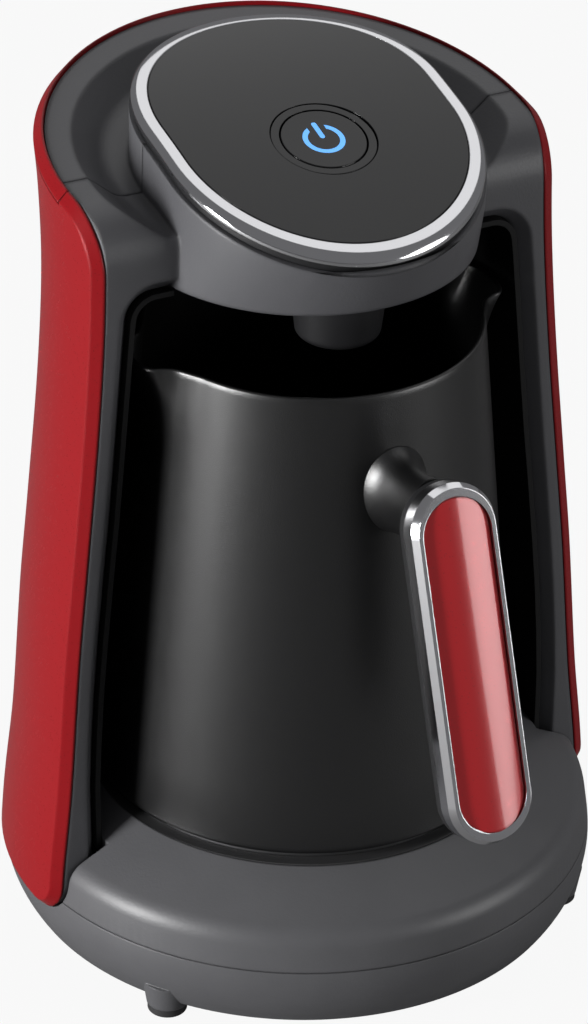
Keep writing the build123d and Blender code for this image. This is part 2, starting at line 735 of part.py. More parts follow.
def pot_pieces():
    """Pot with its base disc, neck, grip, bright frame and coloured inlay."""
    outside = pot_form(0, pot_foot + pot_disc_thickness)
    nodes["pot_body"] = outside - pot_form(pot_wall, pot_foot + pot_disc_thickness + pot_wall)
    pot_disc = disc(pot_disc_radius, pot_foot, pot_foot + pot_disc_thickness)
    nodes["pot_disc"] = fillet(pot_disc.edges().group_by(Axis.Z)[0], pot_disc_thickness / 3)

    widening = frame_back_width - frame_width
    front = handle_plane(frame_proud) * capsule(frame_length, frame_width)
    middle = handle_plane(-frame_edge_round) * capsule(frame_length + widening, frame_back_width)
    frame = loft([front, middle]) + extrude(middle, -(frame_depth - frame_edge_round))
    pocket = extrude(handle_plane(-inlay_thickness)
                     * capsule(inlay_length + 2 * seat_gap, inlay_width + 2 * seat_gap), far / 10)
    nodes["handle_frame"] = frame - pocket
    crown_bow = (inlay_width ** 2 / 4 + inlay_crown ** 2) / (2 * inlay_crown)
    barrel = handle_plane(inlay_crown - crown_bow) * (Rot(90, 0, 0) * Cylinder(crown_bow, far))
    inlay = extrude(handle_plane(-inlay_thickness) * capsule(inlay_length, inlay_width), far / 10)
    nodes["handle_inlay"] = inlay & barrel
    grip_front = handle_plane(-frame_depth) * capsule(frame_length + widening, frame_back_width)
    grip = extrude(grip_front, -grip_depth)
    back_edges = grip.faces().sort_by(SortBy.AREA)[-2:].sort_by(Axis.Y)[-1].edges()
    nodes["handle_grip"] = fillet(back_edges, grip_edge_round)

    wall_y = -(pot_rim_radius + (pot_foot_radius - pot_rim_radius) / pot_height
               * (pot_rim - neck_height))
    stages = [(4.0, 2 * neck_flare, 0.0), (-neck_flare, 0.0, 0.0), (-neck_flare * 3, 0.0, 2.0),
              (-neck_reach, 0.0, neck_rise)]
    sections = [
        Plane((0, wall_y + step, neck_height + rise), x_dir=(1, 0, 0), z_dir=(0, -1, 0))
        * Ellipse((neck_width + flare) / 2, (neck_depth + flare) / 2)
        for step, flare, rise in stages
    ]
    neck = loft(sections) - outside
    behind_grip = extrude(handle_plane(-frame_depth - grip_depth) * Rectangle(far, far), far)
    nodes["handle_neck"] = neck - behind_grip


base_pieces()
heating_pieces()
housing_pieces()
head_pieces()
pot_pieces()

os.makedirs("parts", exist_ok=True)
whole = Compound(children=[Compound(solid.solids()) for solid in nodes.values()])
middle_y = whole.bounding_box().center().Y
for name, solid in nodes.items():
    solids = (Pos(0, -middle_y, 0) * solid).solids()
    shape = solids[0] if len(solids) == 1 else Compound(children=solids)
    export_step(shape, "parts/" + name + ".step")
print("origin sits", round(middle_y, 3), "mm from the pot's axis;", len(nodes), "nodes")
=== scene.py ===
"""Looks and studio for the electric coffee maker with a small long-handled pot."""

import json
import logging
from dataclasses import dataclass
from enum import Enum
from math import acos, asin, atan, copysign, cos, pi, radians, sin, sqrt, tan, tau
from typing import Any, Callable, Sequence, Union

import bmesh
import bpy
from mathutils import Matrix, Vector

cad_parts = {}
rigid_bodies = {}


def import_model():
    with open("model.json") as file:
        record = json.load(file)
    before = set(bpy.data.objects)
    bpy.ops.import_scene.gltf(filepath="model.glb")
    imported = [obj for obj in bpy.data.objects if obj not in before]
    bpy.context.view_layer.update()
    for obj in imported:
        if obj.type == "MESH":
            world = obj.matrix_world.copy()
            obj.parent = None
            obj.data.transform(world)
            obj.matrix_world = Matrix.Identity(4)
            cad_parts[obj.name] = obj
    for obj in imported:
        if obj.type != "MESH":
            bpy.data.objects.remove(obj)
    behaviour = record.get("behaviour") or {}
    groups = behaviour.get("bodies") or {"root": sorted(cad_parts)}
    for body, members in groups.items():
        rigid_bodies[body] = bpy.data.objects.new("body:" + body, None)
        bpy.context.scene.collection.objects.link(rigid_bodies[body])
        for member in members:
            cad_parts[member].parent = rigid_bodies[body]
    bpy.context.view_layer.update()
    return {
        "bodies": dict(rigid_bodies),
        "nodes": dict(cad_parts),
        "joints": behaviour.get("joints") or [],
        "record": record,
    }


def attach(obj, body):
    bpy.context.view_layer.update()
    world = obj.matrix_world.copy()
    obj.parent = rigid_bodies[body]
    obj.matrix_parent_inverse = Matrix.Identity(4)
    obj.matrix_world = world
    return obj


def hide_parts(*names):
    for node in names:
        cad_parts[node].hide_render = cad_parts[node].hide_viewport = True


logging.basicConfig(level=logging.INFO, format="%(message)s")
log = logging.getLogger("coffee_maker")

Colour = tuple[float, float, float]
Point = tuple[float, float, float]
Flat = tuple[float, float]
Number = Union[float, "Wire"]

AXIS_Y = 12.861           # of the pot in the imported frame, in millimetres
TURN = 192                # points around a turned form
FAR = 300.0               # larger than the whole object, for cutting
HUB = 0.4                 # radius at which a flat end turns into a fan of faces
CLOUD = 12.0              # widths of a grain in one cloud of a moulding's tint
DRIFT = 0.04              # by how much roughness drifts over a surface


class Body(Enum):
    """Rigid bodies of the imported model."""

    HOUSING = "housing"
    BUTTON = "button"
    POT = "pot"


class Grain(Enum):
    """Surface texture of a moulding: size of its grain and depth of its relief."""

    FINE = (1400.0, 0.00004)
    SATIN = (2600.0, 0.00002)
    COAT = (3600.0, 0.00004)
    NONE = (900.0, 0.000004)


class Join(Enum):
    """Ways in which two solids are combined."""

    UNION = "UNION"
    DIFFERENCE = "DIFFERENCE"
    COMMON = "INTERSECT"


class Stretch(Enum):
    """Parts of the coloured shell's grid, first round the side, then down it."""

    EDGE = "front edge"
    FIRST = "from the edge to the seam"
    SECOND = "from the seam to the back"
    BACK = "back"
    RIM = "under the rim"
    MIDDLE = "middle"
    FOOT = "over the foot"


Mark = tuple[Stretch, float]


class Wire:
    """Shader socket that takes part in Python arithmetic."""

    def __init__(self, tree: bpy.types.NodeTree, socket: bpy.types.NodeSocket) -> None:
        """Wraps a socket.

        Args:
            tree: Node tree that the socket is in.
            socket: Output socket of a node in that tree.
        """
        self.tree = tree
        self.socket = socket

    def _join(self, operation: str, first: Number, second: Number) -> "Wire":
        """Adds one Math node.

        Args:
            operation: The Math node's operation.
            first: Left value or wire.
            second: Right value or wire.

        Returns:
            The wire of the result.
        """
        node = self.tree.nodes.new("ShaderNodeMath")
        node.operation = operation
        for socket, value in zip(node.inputs, (first, second)):
            if isinstance(value, Wire):
                self.tree.links.new(value.socket, socket)
            else:
                socket.default_value = value
        return Wire(self.tree, node.outputs[0])

    def __add__(self, other: Number) -> "Wire":
        """Sum."""
        return self._join("ADD", self, other)

    def __radd__(self, other: Number) -> "Wire":
        """Sum with a number on the left."""
        return self._join("ADD", other, self)

    def __sub__(self, other: Number) -> "Wire":
        """Difference."""
        return self._join("SUBTRACT", self, other)

    def __rsub__(self, other: Number) -> "Wire":
        """Difference with a number on the left."""
        return self._join("SUBTRACT", other, self)

    def __mul__(self, other: Number) -> "Wire":
        """Product."""
        return self._join("MULTIPLY", self, other)

    def __rmul__(self, other: Number) -> "Wire":
        """Product with a number on the left."""
        return self._join("MULTIPLY", other, self)

    def above(self, limit: float) -> "Wire":
        """One where the value is over a limit, else zero."""
        return self._join("GREATER_THAN", self, limit)


class Recipe:
    """One material while its nodes are being added."""

    def __init__(self, name: str) -> None:
        """Starts a material with an empty surface shader.

        Args:
            name: Name of the material.
        """
        self.material = bpy.data.materials.new(name)
        self.material.use_nodes = True
        self.tree = self.material.node_tree
        self.tree.nodes.clear()
        self.output = self.tree.nodes.new("ShaderNodeOutputMaterial")
        self.surface = self.tree.nodes.new("ShaderNodeBsdfPrincipled")
        self.tree.links.new(self.surface.outputs[0], self.output.inputs["Surface"])
        place = self.add("ShaderNodeTexCoord")
        self.place = Wire(self.tree, place.outputs["Object"])

    def add(self, kind: str, settings: dict[str, Any] | None = None,
            **inputs: Any) -> bpy.types.Node:
        """Adds any node other than maths.

        Args:
            kind: The node's type.
            settings: Properties that are set before the sockets.
            **inputs: Values or wires by socket name, with _ for a space.

        Returns:
            The new node.
        """
        node = self.tree.nodes.new(kind)
        for key, value in (settings or {}).items():
            setattr(node, key, value)
        for key, value in inputs.items():
            self.feed(node, key.replace("_", " "), value)
        return node

    def feed(self, node: bpy.types.Node, name: str, value: Any) -> None:
        """Sets or links one socket of a node.

        Args:
            node: Node that owns the socket.
            name: Name of the socket.
            value: Number, colour or wire.
        """
        if isinstance(value, Wire):
            self.tree.links.new(value.socket, node.inputs[name])
        else:
            node.inputs[name].default_value = value

    def shade(self, name: str, value: Any) -> None:
        """Sets or links one socket of the surface shader."""
        self.feed(self.surface, name, value)

    def gloss(self, shine: float, coat_rough: float, gleam: float) -> None:
        """Sets the clear coat and the strength of reflections.

        Args:
            shine: Weight of the clear coat.
            coat_rough: Its roughness.
            gleam: Reflection level of the surface under it.
        """
        self.shade("Coat Weight", shine)
        self.shade("Coat Roughness", coat_rough)
        self.shade("Specular IOR Level", gleam)

    def noise(self, scale: float) -> Wire:
        """Cloudy values from 0 to 1 in the object's own space.

        Args:
            scale: Clouds per metre.

        Returns:
            The wire of the values.
        """
        node = self.add("ShaderNodeTexNoise", Vector=self.place, Scale=scale, Detail=3.0)
        return Wire(self.tree, node.outputs["Fac"])

    def cells(self, scale: float) -> tuple[Wire, Wire]:
        """Random cells in the object's own space.

        Args:
            scale: Cells per metre.

        Returns:
            Wires of the distance to the cell's middle and of the cell's own random value.
        """
        node = self.add("ShaderNodeTexVoronoi", Vector=self.place, Scale=scale)
        split = self.add("ShaderNodeSeparateColor", Color=Wire(self.tree, node.outputs["Color"]))
        return Wire(self.tree, node.outputs["Distance"]), Wire(self.tree, split.outputs[0])

    def blend(self, factor: Wire, low: Colour, high: Colour) -> Wire:
        """Colour between two colours.

        Args:
            factor: 0 for the first colour, 1 for the second.
            low: First colour.
            high: Second colour.

        Returns:
            The wire of the colour.
        """
        node = self.add("ShaderNodeMix", {"data_type": "RGBA"})
        self.tree.links.new(factor.socket, node.inputs[0])
        node.inputs[6].default_value = (*low, 1.0)
        node.inputs[7].default_value = (*high, 1.0)
        return Wire(self.tree, node.outputs[2])

    def relief(self, height: Wire, depth: float, edge: float = 0.0) -> None:
        """Gives the surface a fine relief and softened edges.

        Args:
            height: Values from 0 to 1.
            depth: Height of the relief in metres.
            edge: Radius of the softened edges in metres, 0 for none.
        """
        bump = self.add("ShaderNodeBump", Height=height, Distance=depth, Strength=1.0)
        if edge > 0:
            bevel = self.add("ShaderNodeBevel", {"samples": 4}, Radius=edge)
            self.tree.links.new(bevel.outputs[0], bump.inputs["Normal"])
        self.shade("Normal", Wire(self.tree, bump.outputs[0]))


@dataclass(frozen=True)
class Finish:
    """Surface of a piece."""

    name: str
    colour: Colour

    def build(self) -> bpy.types.Material:
        """Makes the material.

        Returns:
            The material.
        """
        recipe = Recipe(self.name)
        self.paint(recipe)
        return recipe.material

    def paint(self, recipe: Recipe) -> None:
        """Adds the nodes of this kind of finish.

        Args:
            recipe: Material that takes them.
        """
        raise NotImplementedError

    def tint(self, recipe: Recipe, factor: Wire, low: float, high: float = 1.0) -> Wire:
        """Colour that drifts between two shares of the finish's own.

        Args:
            recipe: Material that takes the nodes.
            factor: 0 for the lower share, 1 for the higher.
            low: Lower share.
            high: Higher share.

        Returns:
            The wire of the colour.
        """
        shades = [tuple(share * part for part in self.colour) for share in (low, high)]
        return recipe.blend(factor, shades[0], shades[1])


@dataclass(frozen=True)
class Moulded(Finish):
    """Moulded plastic with a grained skin."""

    rough: float = 0.45
    grain: Grain = Grain.SATIN
    edge: float = 0.0005
    shine: float = 0.0
    gleam: float = 0.5

    def paint(self, recipe: Recipe) -> None:
        """Adds a cloudy tint, the grain and a thin coat.

        Args:
            recipe: Material that takes the nodes.
        """
        scale, depth = self.grain.value
        cloud = recipe.noise(scale / CLOUD)
        recipe.shade("Base Color", self.tint(recipe, cloud, 0.93, 1.07))
        recipe.shade("Roughness", self.rough - DRIFT / 2 + DRIFT * cloud)
        recipe.gloss(self.shine, 0.06, self.gleam)
        recipe.relief(recipe.noise(scale), depth, self.edge)


@dataclass(frozen=True)
class Flaked(Finish):
    """Coloured coat with fine bright flakes in it."""

    flake: Colour
    cells_per_metre: float = 2200.0
    share: float = 0.12
    rough: float = 0.35
    metal: float = 0.2
    shine: float = 0.3
    gleam: float = 0.5
    reach: float = 0.35
    peel: tuple[float, float, float] = (1500.0, 0.00001, 0.0009)

    def paint(self, recipe: Recipe) -> None:
        """Adds brighter, smoother and more metallic flakes, and a faint orange peel.

        Args:
            recipe: Material that takes the nodes.
        """
        distance, chance = recipe.cells(self.cells_per_metre)
        flakes = chance.above(1 - self.share) * (1 - distance.above(self.reach))
        recipe.shade("Base Color", recipe.blend(flakes, self.colour, self.flake))
        recipe.shade("Roughness", self.rough - 0.1 * flakes)
        recipe.shade("Metallic", self.metal + 0.5 * flakes)
        recipe.gloss(self.shine, 0.08, self.gleam)
        scale, depth, edge = self.peel
        recipe.relief(recipe.noise(scale), depth, edge)


@dataclass(frozen=True)
class Metal(Finish):
    """Plated or turned metal."""

    rough: float = 0.1
    lines: float = 0.0
    edge: float = 0.0003
    clouds: float = 60.0
    groove: float = 0.00003
    ripple: float = 0.000003

    def paint(self, recipe: Recipe) -> None:
        """Adds a cloudy sheen and, where there are any, turned lines.

        Args:
            recipe: Material that takes the nodes.
        """
        cloud = recipe.noise(self.clouds)
        recipe.shade("Base Color", self.tint(recipe, cloud, 0.96))
        recipe.shade("Metallic", 1.0)
        recipe.shade("Roughness", self.rough + DRIFT * cloud)
        if self.lines:
            wave = recipe.add("ShaderNodeTexWave", {"wave_type": "RINGS", "rings_direction": "Z"},
                              Vector=recipe.place, Scale=self.lines, Distortion=0.5)
            recipe.relief(Wire(recipe.tree, wave.outputs["Fac"]), self.groove, self.edge)
        else:
            recipe.relief(cloud, self.ripple, self.edge)


@dataclass(frozen=True)
class Lit(Finish):
    """Window with a lamp behind it."""

    strength: float
    clouds: float = 500.0

    def paint(self, recipe: Recipe) -> None:
        """Adds a slightly uneven glow.

        Args:
            recipe: Material that takes the nodes.
        """
        tint = self.tint(recipe, recipe.noise(self.clouds), 0.9)
        recipe.shade("Base Color", tint)
        recipe.shade("Emission Color", tint)
        recipe.shade("Emission Strength", self.strength)
        recipe.shade("Roughness", 0.3)


GREY = Moulded("grey_moulding", (0.082, 0.082, 0.088), rough=0.40, grain=Grain.FINE, edge=0.0016)
GREY_BASE = Moulded("grey_base", (0.085, 0.085, 0.090), rough=0.42, grain=Grain.FINE, edge=0.0006)
RED = Flaked("red_shell", (0.25, 0.005, 0.008), (0.40, 0.035, 0.035), cells_per_metre=2600.0,
             share=0.1, rough=0.34, metal=0.1, shine=0.08, gleam=0.25)
RED_INLAY = Flaked("red_inlay", (0.52, 0.016, 0.020), (0.60, 0.05, 0.05), cells_per_metre=2600.0,
                   share=0.06, rough=0.22, metal=0.1, shine=0.8)
LINER = Moulded("black_liner", (0.006, 0.006, 0.0062), rough=0.6, edge=0.0003, gleam=0.2)
POT_COAT = Moulded("pot_coat", (0.003, 0.003, 0.0032), rough=0.33, grain=Grain.COAT, edge=0.0004,
                   gleam=0.85)
DARK = Moulded("dark_plastic", (0.012, 0.012, 0.013), rough=0.4, edge=0.0004)
GRIP = Moulded("grip_plastic", (0.010, 0.010, 0.011), rough=0.5, grain=Grain.FINE)
PANEL = Moulded("panel_glass", (0.003, 0.003, 0.0035), rough=0.14, grain=Grain.NONE, edge=0.0002)
CHROME = Metal("bright_plating", (0.78, 0.78, 0.80), rough=0.06)
ALUMINIUM = Metal("turned_plate", (0.42, 0.42, 0.43), rough=0.32, lines=260.0)
STEEL = Metal("plain_steel", (0.52, 0.52, 0.53), rough=0.28)
RUBBER = Moulded("foot_rubber", (0.02, 0.02, 0.021), rough=0.7, grain=Grain.FINE, edge=0.0004)
BOARD = Moulded("board_laminate", (0.02, 0.10, 0.045), edge=0.0002)
COMPONENT = Moulded("component_case", (0.03, 0.03, 0.032), rough=0.5, edge=0.0003)
LIGHT = Lit("lit_mark", (0.12, 0.42, 0.95), strength=0.75)
LENS = Moulded("sensor_window", (0.03, 0.004, 0.006), rough=0.1, grain=Grain.NONE, edge=0.0002,
               shine=1.0)


def added(name: str, data: Any) -> bpy.types.Object:
    """New object in the scene.

    Args:
        name: Its name.
        data: Mesh, lamp or camera that it shows.

    Returns:
        The object.
    """
    item = bpy.data.objects.new(name, data)
    bpy.context.scene.collection.objects.link(item)
    return item


def smooth(stations: tuple[tuple[float, float, float], ...], level: float) -> Flat:
    """Smooth curve through stations.

    Args:
        stations: Level and two values of each station, in rising order.
        level: Where the curve is read.

    Returns:
        The two values there.
    """
    last = len(stations) - 2
    span = next((i for i in range(last) if level < stations[i + 1][0]), last)
    low, high = stations[span], stations[span + 1]
    width = high[0] - low[0]
    part = (level - low[0]) / width
    values = []
    for item in (1, 2):
        def rate(i: int) -> float:
            """Slope of the curve at a station."""
            a, b = stations[max(i - 1, 0)], stations[min(i + 1, len(stations) - 1)]
            return (b[item] - a[item]) / (b[0] - a[0])
        start, end = rate(span) * width, rate(span + 1) * width
        values.append((2 * part**3 - 3 * part**2 + 1) * low[item] + (part**3 - 2 * part**2 + part) * start
                      + (3 * part**2 - 2 * part**3) * high[item] + (part**3 - part**2) * end)
    return values[0], values[1]


def rounded(outline: list[Flat], rounds: dict[int, float], steps: int = 10) -> list[Flat]:
    """Outline with some corners rounded.

    Args:
        outline: Corners in order.
        rounds: Radius by corner number.
        steps: Points along each round.

    Returns:
        The new outline.
    """
    points: list[Flat] = []
    for number, corner in enumerate(outline):
        radius = rounds.get(number, 0.0)
        if radius <= 0:
            points.append(corner)
            continue
        here = Vector(corner)
        ways = [(Vector(outline[(number + side) % len(outline)]) - here).normalized() for side in (-1, 1)]
        half = ways[0].angle(ways[1]) / 2
        middle = here + (ways[0] + ways[1]).normalized() * (radius / sin(half))
        feet = [here + way * (radius / tan(half)) - middle for way in ways]
        sweep = pi - 2 * half
        for step in range(steps + 1):
            share = step / steps
            arm = (feet[0] * sin((1 - share) * sweep) + feet[1] * sin(share * sweep)) / sin(sweep)
            points.append(tuple(middle + arm))
    return points


def ring(radius: float, centre_y: float, height: float) -> list[Point]:
    """Level circle, starting at the front."""
    return [(radius * sin(tau * k / TURN), centre_y - radius * cos(tau * k / TURN), height)
            for k in range(TURN)]


class Solid:
    """Closed mesh in millimetres about the pot's axis."""

    def __init__(self, mesh: bpy.types.Mesh) -> None:
        """Keeps a mesh.

        Args:
            mesh: Closed mesh.
        """
        self.mesh = mesh

    @classmethod
    def of(cls, points: list[Point], faces: list[tuple[int, ...]]) -> "Solid":
        """Solid of points and faces, its normals turned outwards.

        Args:
            points: The corners.
            faces: Numbers of the corners of each face.

        Returns:
            The solid.
        """
        mesh = bpy.data.meshes.new("form")
        mesh.from_pydata(points, [], faces)
        work = bmesh.new()
        work.from_mesh(mesh)
        bmesh.ops.recalc_face_normals(work, faces=work.faces)
        work.to_mesh(mesh)
        work.free()
        return cls(mesh)

    @classmethod
    def lofted(cls, rings: list[list[Point]], closed: bool = False) -> "Solid":
        """Skin over rings of equal length.

        Args:
            rings: The rings in order.
            closed: Whether the last ring joins the first, instead of end caps.

        Returns:
            The solid.
        """
        count = len(rings[0])
        points = [point for row in rings for point in row]
        faces: list[tuple[int, ...]] = []
        for row in range(len(rings) - (0 if closed else 1)):
            low, high = row * count, (row + 1) % len(rings) * count
            faces += [(low + k, low + (k + 1) % count, high + (k + 1) % count, high + k)
                      for k in range(count)]
        if not closed:
            for row in (0, len(rings) - 1):
                middle = sum((Vector(p) for p in rings[row]), Vector()) / count
                points.append(tuple(middle))
                faces += [(row * count + k, row * count + (k + 1) % count, len(points) - 1)
                          for k in range(count)]
        return cls.of(points, faces)

    @classmethod
    def turned(cls, outline: Sequence[Flat], centre_y: float = 0.0, closed: bool = False) -> "Solid":
        """Solid of revolution.

        Args:
            outline: Radius and height of each ring.
            centre_y: Place of the axis.
            closed: Whether the outline closes on itself, instead of on the axis.

        Returns:
            The solid.
        """
        return cls.lofted([ring(radius, centre_y, height) for radius, height in outline], closed)

    @classmethod
    def disc(cls, radius: float, bottom: float, top: float, x: float = 0.0, y: float = 0.0) -> "Solid":
        """Upright cylinder."""
        return cls.turned([(radius, bottom), (radius, top)]).moved(Matrix.Translation((x, y, 0)))

    @classmethod
    def slab(cls, low: Point, high: Point) -> "Solid":
        """Box between two corners."""
        rows = [[(low[0], low[1], z), (high[0], low[1], z), (high[0], high[1], z), (low[0], high[1], z)]
                for z in (low[2], high[2])]
        return cls.lofted(rows)

    @classmethod
    def group(cls, solids: list["Solid"]) -> "Solid":
        """Separate solids as one, without a boolean.

        Args:
            solids: Solids that don't touch.

        Returns:
            The solid.
        """
        work = bmesh.new()
        for solid in solids:
            work.from_mesh(solid.mesh)
        mesh = bpy.data.meshes.new("form")
        work.to_mesh(mesh)
        work.free()
        return cls(mesh)

    def moved(self, matrix: Matrix) -> "Solid":
        """Moves the solid and returns it."""
        self.mesh.transform(matrix)
        return self

    def _combine(self, other: "Solid", join: Join) -> "Solid":
        """Boolean of two solids.

        Args:
            other: The second solid.
            join: How they are combined.

        Returns:
            The new solid.
        """
        objects = [added("work", solid.mesh) for solid in (self, other)]
        tool = objects[0].modifiers.new("tool", "BOOLEAN")
        tool.operation, tool.solver, tool.object = join.value, "EXACT", objects[1]
        graph = bpy.context.evaluated_depsgraph_get()
        graph.update()
        mesh = bpy.data.meshes.new_from_object(objects[0].evaluated_get(graph))
        for item in objects:
            bpy.data.objects.remove(item)
        return Solid(mesh)

    def __add__(self, other: "Solid") -> "Solid":
        """Union."""
        return self._combine(other, Join.UNION)

    def __sub__(self, other: "Solid") -> "Solid":
        """Difference."""
        return self._combine(other, Join.DIFFERENCE)

    def __and__(self, other: "Solid") -> "Solid":
        """Common part."""
        return self._combine(other, Join.COMMON)


@dataclass(frozen=True)
class Shape:
    """Sizes of the housing and of what is cut into it, in millimetres."""

    seam: float = 21.6
    gap: float = 0.3
    foot: float = 17.8
    top: float = 215.1
    foot_radius: float = 77.3
    waist_radius: float = 63.8
    foot_y: float = -2.7
    rim_y: float = 10.8
    front_foot_y: float = -15.2
    front_rim_y: float = -6.9
    rim_back: float = 216.7
    rim_back_y: float = 71.6
    rim_slope: float = 0.138
    skin: float = 2.7
    wall: float = 2.4
    front_inset: float = 0.4
    foot_round: float = 9.0
    rim_round: float = 14.0
    crease: float = 55.2
    dish_depth: float = 7.2
    dish_radius: float = 46.5
    dish_round: float = 7.0
    split_y: float = 13.6
    bay_y: float = -5.4
    bay_top: float = 184.9
    bay_roof: float = 52.2
    bay_round: float = 7.0
    bay_flare: float = 3.6
    flare_lead: float = 2.0
    bay_wall: tuple[Flat, ...] = (
        (64.4, 21.6), (64.4, 51.8), (63.85, 64.0), (62.9, 78.0), (61.6, 92.0),
        (59.7, 110.0), (58.1, 124.0), (56.5, 140.0), (54.9, 157.0), (53.3, 174.0))
    stations: tuple[tuple[float, float, float], ...] = (
        (-0.10, 1.14, -0.03), (0.04, 1.01, 0.02), (0.166, 0.81, 0.07), (0.352, 0.60, 0.20),
        (0.476, 0.42, 0.29), (0.662, 0.16, 0.44), (0.807, 0.02, 0.60), (0.921, 0.00, 0.80),
        (1.0, 0.04, 1.0), (1.08, 0.11, 1.2))
    levels: tuple[float, ...] = tuple(3.0 + 4.0 * step for step in range(57))
    dish_top: float = 60.0

    @property
    def front_top(self) -> float:
        """Height of the rim's line over the front edge."""
        return self.rim_back - self.rim_slope * (self.rim_back_y - self.front_rim_y)

    def circle(self, height: float) -> Flat:
        """Radius and centre of the housing's outline at a height."""
        share, shift = smooth(self.stations, (height - self.seam) / (self.top - self.seam))
        return (self.waist_radius + (self.foot_radius - self.waist_radius) * share,
                self.foot_y + (self.rim_y - self.foot_y) * shift)

    def front(self, height: float) -> float:
        """Y of the coloured front edge at a height."""
        share = (height - self.foot) / (self.front_top - self.foot)
        return self.front_foot_y + (self.front_rim_y - self.front_foot_y) * share

    def rim(self, y: float) -> float:
        """Height of the rim at a y."""
        return self.rim_back - self.rim_slope * (self.rim_back_y - y)

    def envelope(self, inset: float = 0.0) -> Solid:
        """Outer form of the housing.

        Args:
            inset: How far inside the outer face.

        Returns:
            The solid.
        """
        rows = []
        for height in self.levels:
            radius, centre = self.circle(height)
            rows.append(ring(radius - inset, centre, height))
        return Solid.lofted(rows)

    def arch(self, inset: float = 0.0, foot: float | None = None) -> Solid:
        """Side outline of the wings and the rim, as a slab across the object.

        Args:
            inset: How far inside the front edge and the rim.
            foot: Height of its foot, or nothing for the wings' own.

        Returns:
            The solid.
        """
        foot = self.foot if foot is None else foot
        outline = rounded([
            (self.front_foot_y + inset, foot), (self.front_rim_y + inset, self.front_top - inset),
            (FAR, self.rim(FAR) - inset), (FAR, foot)], {0: self.foot_round, 1: self.rim_round})
        return Solid.lofted([[(x, y, z) for y, z in outline] for x in (-FAR, FAR)])

    def bay_outline(self, inset: float, bottom: float) -> list[Flat]:
        """Radius and height of the bay, from its floor to its roof.

        Args:
            inset: How much smaller the bay is all round.
            bottom: Height of its floor.

        Returns:
            The outline.
        """
        outline = [(radius - inset, height) for radius, height in self.bay_wall]
        outline[0] = (outline[0][0], bottom)
        outline += [(self.bay_roof - inset, self.bay_top - inset), (HUB, self.bay_top - inset)]
        return rounded(outline, {len(outline) - 2: self.bay_round - inset})

    def bay(self, inset: float, bottom: float, flare: float = 0.0) -> Solid:
        """Space that the pot stands in, its front edges flared.

        Args:
            inset: How much smaller the space is all round.
            bottom: Height of its floor.
            flare: Width of the sloping face along its opening.

        Returns:
            The solid.
        """
        outline = self.bay_outline(inset, bottom)
        rows = []
        for number, (radius, height) in enumerate(outline):
            before, after = outline[max(number - 1, 0)], outline[min(number + 1, len(outline) - 1)]
            way = Vector((after[1] - before[1], before[0] - after[0])).normalized()
            opening = self.front(height) + self.front_inset
            edge = acos(max(-1.0, min(1.0, (self.bay_y - opening - flare) / radius)))
            row = []
            for k in range(TURN):
                turn = tau * k / TURN
                lap = turn / pi if turn <= pi else 2 - turn / pi
                angle = edge * lap * 2 if lap < 0.5 else edge + (pi - edge) * (lap - 0.5) * 2
                depth = self.bay_y - radius * cos(angle) - opening
                grow = max(0.0, min(flare + self.flare_lead, flare - depth)) if flare else 0.0
                reach = radius + way[0] * grow
                row.append((copysign(reach * sin(angle), pi - turn), self.bay_y - reach * cos(angle),
                            height + way[1] * grow))
            rows.append(row)
        return Solid.lofted(rows)

    def bowl(self, drop: float = 0.0, spread: float = 0.0) -> Solid:
        """Shallow dish cut into the top, inside the flat band of the rim.

        Args:
            drop: How much deeper than the dish itself.
            spread: How much wider.

        Returns:
            The solid.
        """
        floor, edge = -self.dish_depth - drop, self.crease + spread
        outline = rounded([(HUB, floor), (self.dish_radius + spread, floor), (edge, 0.0),
                           (edge, self.dish_top), (HUB, self.dish_top)], {1: self.dish_round + drop})
        place = Matrix.Translation((0, self.rim_y, self.rim(self.rim_y)))
        return Solid.turned(outline).moved(place @ Matrix.Rotation(atan(self.rim_slope), 4, "X"))


